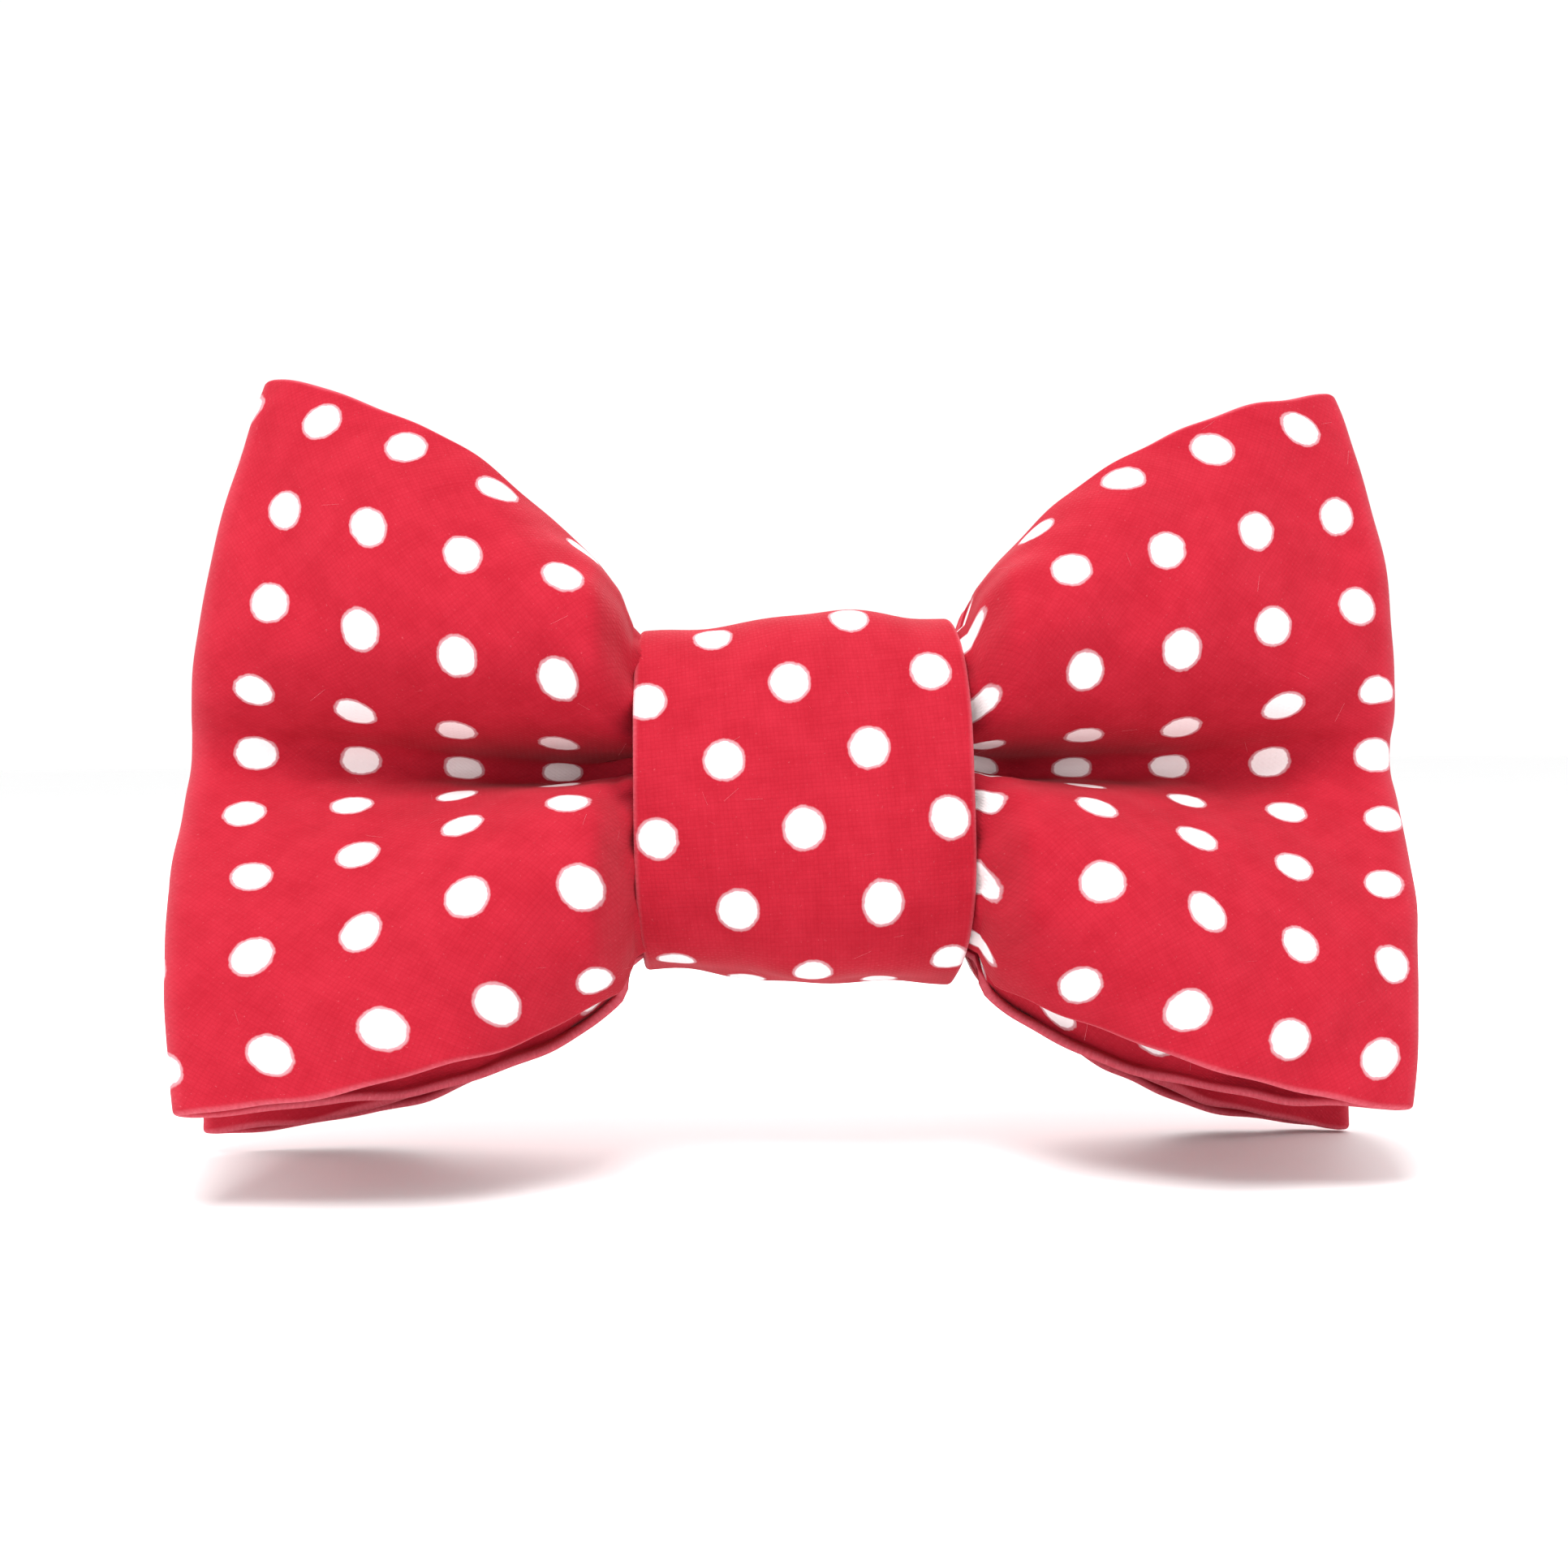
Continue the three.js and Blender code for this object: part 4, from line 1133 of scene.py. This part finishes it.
@dataclass(frozen=True)
class CentreWrap:
    """The cotton wrap round the waist, its lining, its closing stitches and the gathering thread. Millimetres.

    Attributes:
        outline: the wrap's outer face.
        thickness: the wrap's.
        lap: how far the wrap's end passes over its start.
        lining: the lining's thickness.
        stitches: how many closing stitches there are.
        thread: the thread's diameter.
        gap: the air between two layers.
    """

    outline: WaistOutline = WaistOutline()
    thickness: float = 1.1
    lap: float = 9.0
    lining: float = 0.35
    stitches: int = 9
    thread: float = 0.42
    gap: float = 0.12

    def strip(self, name: str, outline: WaistOutline, width: float, thickness: float, lap: float,
              steps: int) -> Strip:
        """A strip wound once round the waist.

        Args:
            name: the piece's name.
            outline: the line that its middle follows.
            width: its width.
            thickness: its thickness.
            lap: how far its end passes over its start, or 0 to meet it.
            steps: how many stations it has.

        Returns:
            The strip, not yet made a mesh.
        """
        round_trip = outline.line()[1][-1]
        length = np.linspace(-lap / 2, round_trip + lap / 2 - (0.4 if lap == 0 else 0), steps)
        rise = 0 * length
        if lap:
            rise = (thickness + self.gap) * smooth(length, round_trip - 1.7 * lap, round_trip - 0.55 * lap)
        across = across_strip(-width / 2, width / 2)
        flat = outline.at(length, rise)
        height = flat[:, 1] + WAIST_DROP
        pinch = 1 - 0.05 * np.abs(height / outline.half_height) ** 4
        x = across[None, :] * pinch[:, None] * 0.985 - 0.25
        wide = across[None, :] + 0 * length[:, None]
        along = length[:, None] + 0 * wide
        at_edges = np.exp(-(((np.abs(height) - 17) / 4) ** 2))[:, None]
        soft = 0.20 * wave(wide / 21 + along / 33, 0.8) + 0.14 * wave(wide / 11 - along / 17, 2.1)
        soft = soft + 0.35 * wave(wide / 30, 1.1) * at_edges
        bulge = 0.9 * (1 - (2 * wide / width) ** 2) * (flat[:, :1] < 0)
        lift = outline.at(length, rise + 1.0) - flat
        swell = bulge * smooth(-flat[:, 0], 0, 9)[:, None] + soft
        points = flat[:, None, :] + lift[:, None, :] * swell[..., None]
        points[..., 1] += height[:, None] * 0.05 * across[None, :] / (width / 2)
        middle = np.concatenate([x[..., None], points], axis=-1)
        return Strip(name, middle, along, across, thickness, 0.6)

    def build(self, finishes: Finishes) -> list[bpy.types.Object]:
        """Makes the wrap, its lining, the gathering thread and the closing stitches.

        Args:
            finishes: the tie's finishes.

        Returns:
            The four pieces.
        """
        outer = self.outline.grown(-self.thickness / 2)
        wrap = self.strip("centre_wrap_cloth", outer, WRAP_WIDTH, self.thickness, self.lap, 300)
        inner = self.outline.grown(-self.thickness - 0.1 - self.lining / 2)
        lining = self.strip("centre_wrap_lining", inner, WRAP_WIDTH - 2, self.lining, 0.0, 120)
        pieces = [wrap.build(finishes.wrap), lining.build(finishes.interfacing)]
        trip = outer.line()[1][-1]
        for piece, node, slot, width, lap in (
                (pieces[0], "centre_wrap", Slot.COTTON, WRAP_WIDTH, self.lap),
                (pieces[1], "wrap_interfacing", Slot.INTERFACING, WRAP_WIDTH - 2, 0)):
            stand_for(node)
            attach(piece, "tie")
            width * MM
            (trip + lap) * MM
        return [*pieces, self._gather_thread(finishes), self._closing_stitches(finishes, outer)]

    def _gather_thread(self, finishes: Finishes) -> bpy.types.Object:
        """Winds three turns of thread that squeeze the waist.

        Args:
            finishes: the tie's finishes.

        Returns:
            The piece.
        """
        line = self.outline.grown(-self.thickness - self.lining - 0.55)
        trip = line.line()[1][-1]
        turns = np.linspace(0, 3, 3 * 90)
        flat = line.at(turns * trip)
        x = (turns - 1.5) * 1.1
        piece = Tube("gathering_thread", np.column_stack([x, flat]), self.thread, 8).build(finishes.thread)
        stand_for("gather_thread")
        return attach(piece, "tie")

    def _closing_stitches(self, finishes: Finishes, line: WaistOutline) -> bpy.types.Object:
        """Sews the slanting whip stitches that hold the wrap's end down, along its edge at the back.

        Args:
            finishes: the tie's finishes.
            line: the line that the wrap's middle follows.

        Returns:
            The piece.
        """
        lift = self.thickness / 2
        lower, upper = (line.at(np.array([self.lap / 2 + step]), rise)[0]
                        for step, rise in ((-0.9, self.thickness + self.gap + lift), (0.9, lift)))
        middle = (lower + upper) / 2
        ends = TIE.place(np.array([[-12.5, *middle], [12.5, *middle]]))
        centre = TIE.place(np.array([[0.0, *middle]]))
        stitch_from, stitch_to = TIE.place(np.array([[-0.45, *lower], [0.45, *upper]])) - centre
        away = TIE.place(np.array([[0.0, middle[0] + 1, middle[1]]])) - centre
        row = StitchRow(ends, stitch_from, stitch_to, away[0] / np.linalg.norm(away[0]), self.stitches,
                        self.thread * MM)
        piece = row.build("wrap_whip_stitches", finishes.thread)
        stand_for("wrap_closing_stitch")
        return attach(piece, "tie")


# ---------------------------------------------------------------- geometry nodes


class NodeTree:
    """A Geometry Nodes tree with named inputs, run once to give a plain mesh."""

    def __init__(self, name: str) -> None:
        """Starts a tree with a geometry output and a geometry input.

        Args:
            name: the tree's name.
        """
        self.tree = bpy.data.node_groups.new(name, "GeometryNodeTree")
        self.tree.interface.new_socket("Geometry", in_out="INPUT", socket_type="NodeSocketGeometry")
        self.tree.interface.new_socket("Geometry", in_out="OUTPUT", socket_type="NodeSocketGeometry")
        self.source = self.tree.nodes.new("NodeGroupInput")
        self.values: dict[str, Any] = {}

    def input(self, name: str, kind: str, value: Any) -> bpy.types.NodeSocket:
        """Adds a named input.

        Args:
            name: its name.
            kind: its socket's type.
            value: the value that the modifier gives it.

        Returns:
            Its socket inside the tree.
        """
        made = self.tree.interface.new_socket(name, in_out="INPUT", socket_type=kind)
        self.values[made.identifier] = value
        return self.source.outputs[name]

    def node(self, kind: str, settings: dict | None = None, inputs: dict | None = None) -> bpy.types.Node:
        """Adds a node.

        Args:
            kind: the node's type.
            settings: its own settings, which are set first.
            inputs: a value or a socket for each input, by name or number.

        Returns:
            The node.
        """
        made = self.tree.nodes.new(kind)
        for key, value in (settings or {}).items():
            setattr(made, key, value)
        for key, value in (inputs or {}).items():
            if isinstance(value, bpy.types.NodeSocket):
                self.tree.links.new(value, made.inputs[key])
            else:
                made.inputs[key].default_value = value
        return made

    def swept(self, curve: bpy.types.Node, radius: bpy.types.NodeSocket, sides: int,
              capped: bool) -> bpy.types.Node:
        """Sweeps a ring along a curve.

        Args:
            curve: the node that makes the curve.
            radius: the ring's radius.
            sides: how many sides the ring has.
            capped: whether the ends are closed.

        Returns:
            The node that makes the mesh.
        """
        inputs = {"Resolution": sides, "Radius": radius}
        ring = self.node("GeometryNodeCurvePrimitiveCircle", {"mode": "RADIUS"}, inputs)
        inputs = {"Curve": curve.outputs[0], "Profile Curve": ring.outputs[0], "Fill Caps": capped}
        return self.node("GeometryNodeCurveToMesh", {}, inputs)

    def run(self, name: str, made: bpy.types.NodeSocket, material: bpy.types.Material,
            carrier: bpy.types.Mesh | None = None) -> bpy.types.Object:
        """Realizes the instances, sets the material and turns the result into a plain mesh.

        Args:
            name: the piece's name.
            made: the socket that carries the geometry.
            material: its finish.
            carrier: the mesh that the tree starts from, if it has one.

        Returns:
            The piece, with no modifier.
        """
        real = self.node("GeometryNodeRealizeInstances", {}, {"Geometry": made})
        finish = self.node("GeometryNodeSetMaterial", {}, {"Geometry": real.outputs[0], "Material": material})
        end = self.tree.nodes.new("NodeGroupOutput")
        self.tree.links.new(finish.outputs[0], end.inputs[0])
        holder = bpy.data.objects.new(name + "_tree", carrier or bpy.data.meshes.new(name + "_seed"))
        bpy.context.scene.collection.objects.link(holder)
        modifier = holder.modifiers.new("nodes", "NODES")
        modifier.node_group = self.tree
        for identifier, value in self.values.items():
            modifier[identifier] = value
        graph = bpy.context.evaluated_depsgraph_get()
        mesh = bpy.data.meshes.new_from_object(holder.evaluated_get(graph))
        bpy.data.objects.remove(holder)
        mesh.name = name
        return link_object(name, mesh, material)


@dataclass(frozen=True)
class StitchRow:
    """A row of short arched stitches between two points, in metres.

    Attributes:
        ends: where the row starts and stops.
        start: where a stitch goes in, from its middle.
        end: where it comes out.
        outward: the way the thread arches.
        count: how many stitches there are.
        diameter: the thread's.
    """

    ends: np.ndarray
    start: np.ndarray
    end: np.ndarray
    outward: np.ndarray
    count: int
    diameter: float

    def build(self, name: str, material: bpy.types.Material) -> bpy.types.Object:
        """Makes the row with one tree.

        Args:
            name: the piece's name.
            material: the thread's finish.

        Returns:
            The stitches as one piece.
        """
        t = NodeTree(name)
        first = t.input("Row start", "NodeSocketVector", tuple(self.ends[0]))
        last = t.input("Row end", "NodeSocketVector", tuple(self.ends[1]))
        count = t.input("Stitches", "NodeSocketInt", self.count)
        radius = t.input("Thread radius", "NodeSocketFloat", self.diameter / 2)
        low = t.input("Goes in", "NodeSocketVector", tuple(self.start - self.outward * 0.25 * MM))
        arch = t.input("Arch", "NodeSocketVector", tuple(self.outward * 1.1 * MM))
        high = t.input("Comes out", "NodeSocketVector", tuple(self.end - self.outward * 0.25 * MM))
        line = t.node("GeometryNodeCurvePrimitiveLine", {}, {"Start": first, "End": last})
        spaced = t.node("GeometryNodeResampleCurve", {}, {"Curve": line.outputs[0], "Count": count})
        inputs = {"Resolution": 9, "Start": low, "Middle": arch, "End": high}
        bow = t.node("GeometryNodeCurveQuadraticBezier", {}, inputs)
        stitch = t.swept(bow, radius, 8, True)
        inputs = {"Points": spaced.outputs[0], "Instance": stitch.outputs[0]}
        placed = t.node("GeometryNodeInstanceOnPoints", {}, inputs)
        return t.run(name, placed.outputs[0], material)


@dataclass(frozen=True)
class Lint:
    """Fine cotton fibres standing on the cloth, in metres.

    Attributes:
        density: fibres per square metre.
        length: how long a fibre is.
        radius: how thick it is.
        seed: the seed of their places.
    """

    density: float = 7000.0
    length: float = 2.2 * MM
    radius: float = 0.009 * MM
    seed: int = 7

    def build(self, name: str, cloth: bpy.types.Object, material: bpy.types.Material) -> bpy.types.Object:
        """Scatters the fibres over a piece of cloth.

        Args:
            name: the new piece's name.
            cloth: the piece that they stand on.
            material: their finish.

        Returns:
            The fibres as one piece.
        """
        t = NodeTree(name)
        density = t.input("Fibres per square metre", "NodeSocketFloat", self.density)
        length = t.input("Fibre length", "NodeSocketFloat", self.length)
        radius = t.input("Fibre radius", "NodeSocketFloat", self.radius)
        seed = t.input("Seed", "NodeSocketInt", self.seed)
        inputs = {"Mesh": t.source.outputs["Geometry"], "Density": density, "Seed": seed}
        points = t.node("GeometryNodeDistributePointsOnFaces", {"distribute_method": "RANDOM"}, inputs)
        inputs = {"Resolution": 9, "Rotations": 0.2, "Start Radius": 0.0, "End Radius": length,
                  "Height": 0.25 * MM}
        spiral = t.node("GeometryNodeCurveSpiral", {}, inputs)
        fibre = t.swept(spiral, radius, 3, False)
        spin = t.node("FunctionNodeRandomValue", {"data_type": "FLOAT"}, {"Seed": seed, 2: 0.0, 3: 6.283})
        inputs = {"Axis": (0.0, 0.0, 1.0), "Angle": spin.outputs[1]}
        turned = t.node("FunctionNodeAxisAngleToRotation", {}, inputs)
        inputs = {"Rotation": points.outputs["Rotation"], "Rotate By": turned.outputs[0]}
        facing = t.node("FunctionNodeRotateRotation", {"rotation_space": "LOCAL"}, inputs)
        size = t.node("FunctionNodeRandomValue", {"data_type": "FLOAT"}, {"Seed": seed, 2: 0.25, 3: 1.0})
        inputs = {"Points": points.outputs[0], "Instance": fibre.outputs[0], "Rotation": facing.outputs[0],
                  "Scale": size.outputs[1]}
        placed = t.node("GeometryNodeInstanceOnPoints", {}, inputs)
        piece = t.run(name, placed.outputs[0], material, cloth.data.copy())
        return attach(piece, "tie")


# ---------------------------------------------------------------- the clip


@dataclass(frozen=True)
class Stamping:
    """A stamped or moulded part of the clip: the frame's own shape with its edges broken.

    Attributes:
        node: the frame's node.
        body: the body that it rides on.
        slot: the record's slot; not used.
        edge: how wide the broken edges are, in millimetres.
    """

    node: str
    body: str
    slot: Slot
    edge: float

    def build(self, material: bpy.types.Material) -> bpy.types.Object:
        """Makes a clean, bevelled copy that stands for the frame's node.

        Args:
            material: its finish.

        Returns:
            The piece, with no modifier.
        """
        mesh = frame["nodes"][self.node].data.copy()
        piece = link_object(self.node + "_finished", mesh, material)
        for kind, settings in (
                ("WELD", {"merge_threshold": 0.002 * MM}),
                ("DECIMATE", {"decimate_type": "DISSOLVE", "angle_limit": math.radians(0.5)}),
                ("BEVEL", {"width": self.edge * MM, "segments": 2, "limit_method": "ANGLE",
                           "angle_limit": math.radians(35)}),
                ("WEIGHTED_NORMAL", {"weight": 80})):
            step = piece.modifiers.new(kind.lower(), kind)
            for key, value in settings.items():
                setattr(step, key, value)
        graph = bpy.context.evaluated_depsgraph_get()
        finished = bpy.data.meshes.new_from_object(piece.evaluated_get(graph))
        piece.modifiers.clear()
        piece.data = finished
        stand_for(self.node)
        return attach(piece, self.body)


@dataclass(frozen=True)
class HingeSpring:
    """A torsion spring round a hinge pin, in millimetres.

    Attributes:
        side: -1 for the left hinge and 1 for the right.
        wire: the wire's diameter.
        radius: the coil's, at the wire's middle.
        turns: how many turns it has.
        plate_back: the clip plate's back face.
    """

    side: int
    wire: float = 0.5
    radius: float = 1.45
    turns: int = 3
    plate_back: float = 7.0

    def build(self, material: bpy.types.Material) -> bpy.types.Object:
        """Makes the coil with one leg on the plate and one under the thumb tab.

        Args:
            material: its finish.

        Returns:
            The piece, which runs from the plate to the jaw.
        """
        pitch = self.wire + 0.35
        low = -self.turns / 2 * pitch - WAIST_DROP
        legs = self.radius * 2.6
        turn = np.linspace(0, self.turns + 0.3, 130)
        angle = -math.pi / 2 - turn * 2 * math.pi
        coil = np.column_stack([
            HINGE_X + self.radius * np.cos(angle), HINGE_DEPTH + self.radius * np.sin(angle),
            low + turn * pitch])
        on_plate = self.plate_back + 0.3 + self.wire / 2
        first = np.array([HINGE_X + legs, on_plate, low])
        last = coil[-1] + np.array([-legs * 0.8, legs * 0.42, 0.0])
        ease = np.linspace(0, 1, 12)[:, None]
        leg_in = mix(first, coil[0], ease)[:-1]
        leg_out = mix(coil[-1], last, ease)[1:]
        path = np.concatenate([leg_in, coil, leg_out])
        path[:, 0] *= self.side
        prefix = "left" if self.side < 0 else "right"
        piece = Tube(prefix + "_torsion_spring", path, self.wire, 12).build(material)
        stand_for(prefix + "_spring")
        line = TIE.place(np.array([[HINGE_X * self.side, HINGE_DEPTH, low],
                                   [HINGE_X * self.side, HINGE_DEPTH, low + turn[-1] * pitch]]))
        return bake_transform(piece)


@dataclass(frozen=True)
class Clip:
    """The sprung steel clip under the back of the wrap.

    Attributes:
        broken_edge: how wide the steel's broken edges are, in millimetres.
    """

    broken_edge: float = 0.12

    def build(self, finishes: Finishes) -> list[bpy.types.Object]:
        """Makes the plate, and the jaw, insert, pin and spring at each end.

        Args:
            finishes: the tie's finishes.

        Returns:
            The nine pieces.
        """
        pieces = [Stamping("clip_plate", "tie", Slot.NICKEL, self.broken_edge).build(finishes.nickel)]
        for side, prefix in ((-1, "left"), (1, "right")):
            jaw = prefix + "_jaw"
            pieces += [
                Stamping(jaw, jaw, Slot.NICKEL, self.broken_edge).build(finishes.nickel),
                Stamping(prefix + "_grip_insert", jaw, Slot.NYLON, 0.06).build(finishes.nylon),
                Stamping(prefix + "_hinge_pin", "tie", Slot.NICKEL, 0.10).build(finishes.nickel),
                HingeSpring(side).build(finishes.spring),
            ]
        return pieces


# ---------------------------------------------------------------- the studio


@dataclass(frozen=True)
class Studio:
    """A white floor, a white surround, soft lights and the camera. Millimetres and degrees.

    Attributes:
        camera_place: where the camera stands, from the tie's middle.
        camera_pitch: how far it looks up.
        camera_yaw: how far it looks to the right.
        camera_roll: how far it is tilted.
        focal: its focal length.
    """

    camera_place: tuple[float, float, float] = (-13.1, -210.8, 0.5)
    camera_pitch: float = -0.97
    camera_yaw: float = 3.15
    camera_roll: float = -0.54
    focal: float = 47.1

    def build(self) -> None:
        """Sets up the whole studio."""
        self._camera()
        self._floor()
        self._surround()
        self._softbox("overhead", (-0.10, -0.30, 0.64), (0.0, 0.0, 0.03), 0.35, 4.4)
        self._softbox("backlight", (0.05, 0.45, 0.50), (0.0, -0.05, 0.0), 0.5, 2.4)

    def _camera(self) -> None:
        """The camera, a hand's breadth in front of the tie."""
        data = bpy.data.cameras.new("camera")
        data.lens = self.focal
        data.sensor_width = 36.0
        data.clip_start, data.clip_end = 0.01, 20.0
        camera = bpy.data.objects.new("camera", data)
        bpy.context.scene.collection.objects.link(camera)
        pitch, yaw, roll = (math.radians(a) for a in (self.camera_pitch, self.camera_yaw, self.camera_roll))
        forward = Vector((math.sin(yaw) * math.cos(pitch), math.cos(yaw) * math.cos(pitch), math.sin(pitch)))
        level = Vector((math.cos(yaw), -math.sin(yaw), 0.0))
        upright = level.cross(forward)
        right = level * math.cos(roll) + upright * math.sin(roll)
        up = upright * math.cos(roll) - level * math.sin(roll)
        x, y, z = self.camera_place
        place = Vector((x, y + TIE.back, z + TIE.up)) * MM
        rotation = Matrix((right, up, -forward)).transposed()
        camera.matrix_world = Matrix.Translation(place) @ rotation.to_4x4()
        bpy.context.scene.camera = camera

    def _floor(self) -> None:
        """A wide pale floor."""
        half = 6.0
        mesh = bpy.data.meshes.new("floor")
        corners = [(-half, -half, 0), (half, -half, 0), (half, half, 0), (-half, half, 0)]
        mesh.from_pydata(corners, [], [(0, 1, 2, 3)])
        link_object("floor", mesh, PaleFloor().build())

    def _surround(self) -> None:
        """An even white surround."""
        world = bpy.data.worlds.new("surround")
        world.use_nodes = True
        world.node_tree.nodes["Background"].inputs["Color"].default_value = (1.0, 1.0, 1.0, 1.0)
        world.node_tree.nodes["Background"].inputs["Strength"].default_value = 1.03
        bpy.context.scene.world = world
        bpy.context.scene.view_settings.view_transform = "Standard"

    def _softbox(self, name: str, place: tuple, aim: tuple, size: float, power: float) -> None:
        """Hangs a square soft light.

        Args:
            name: its name.
            place: where it hangs, in metres.
            aim: the point that it faces, in metres.
            size: its side, in metres.
            power: in watts.
        """
        data = bpy.data.lights.new(name, "AREA")
        data.size = size
        data.energy = power
        lamp = bpy.data.objects.new(name, data)
        bpy.context.scene.collection.objects.link(lamp)
        lamp.location = place
        lamp.rotation_euler = (Vector(aim) - Vector(place)).to_track_quat("-Z", "Y").to_euler()


# ---------------------------------------------------------------- assembly

FRONT_BOW = LoopedBow(
    prefix="front", facing=Facing.FRONT,
    upper=Lobe(SPOTS_ABOVE * SPOT_PITCH, 0.56, 0.355, 0.76, 0.55, 13.6, 37.3, 0.48, 0.085, 0.136, 0.62),
    lower=Lobe(SPOTS_BELOW * SPOT_PITCH, 0.61, 0.92, 0.74, 0.76, 24.1, 37.8, 0.7, 0.075, -0.15),
    half_width=60.3, drop=0.0, valley_near=-2.85, valley_outer=-4.4, flat_near=-0.95, shifts=(7.1, 1.2))
REAR_TROUGH = (0.09, 0.16)  # room for the clip's plate and jaws
REAR_BOW = LoopedBow(
    prefix="rear", facing=Facing.BACK,
    upper=Lobe(SPOTS_ABOVE * SPOT_PITCH, 0.55, 0.45, 0.62, 0.50, 13.2, 35.6, 0.5, 0.15, 0.05, 1.0, REAR_TROUGH),
    lower=Lobe(SPOTS_BELOW * SPOT_PITCH, 0.50, 0.60, 0.54, 0.60, 22.6, 38.6, 0.7, 0.02, 0.16, 1.0, REAR_TROUGH),
    half_width=60.5, drop=-0.95, valley_near=2.85, valley_outer=6.0, flat_near=0.95, shifts=(4.0, 3.0),
    valley_height=(-4.4, -1.5), held_rise=0.5, sink=(1.8, 2.5))


def main() -> None:
    """Builds the tie in order and reports each piece."""
    logging.basicConfig(level=logging.INFO, format="%(name)s: %(message)s")
    Studio().build()
    finishes = Finishes()
    front = FRONT_BOW.build(finishes)
    rear = REAR_BOW.build(finishes)
    wrap = CentreWrap().build(finishes)
    lint = [Lint().build("front_bow_lint", front[0], finishes.lint),
            Lint(seed=11).build("centre_wrap_lint", wrap[0], finishes.lint)]
    for piece in [*front, *rear, *wrap, *lint, *Clip().build(finishes)]:
        LOG.info("%s: %d faces", piece.name, len(piece.data.polygons))


if __name__ == "__main__":
    main()
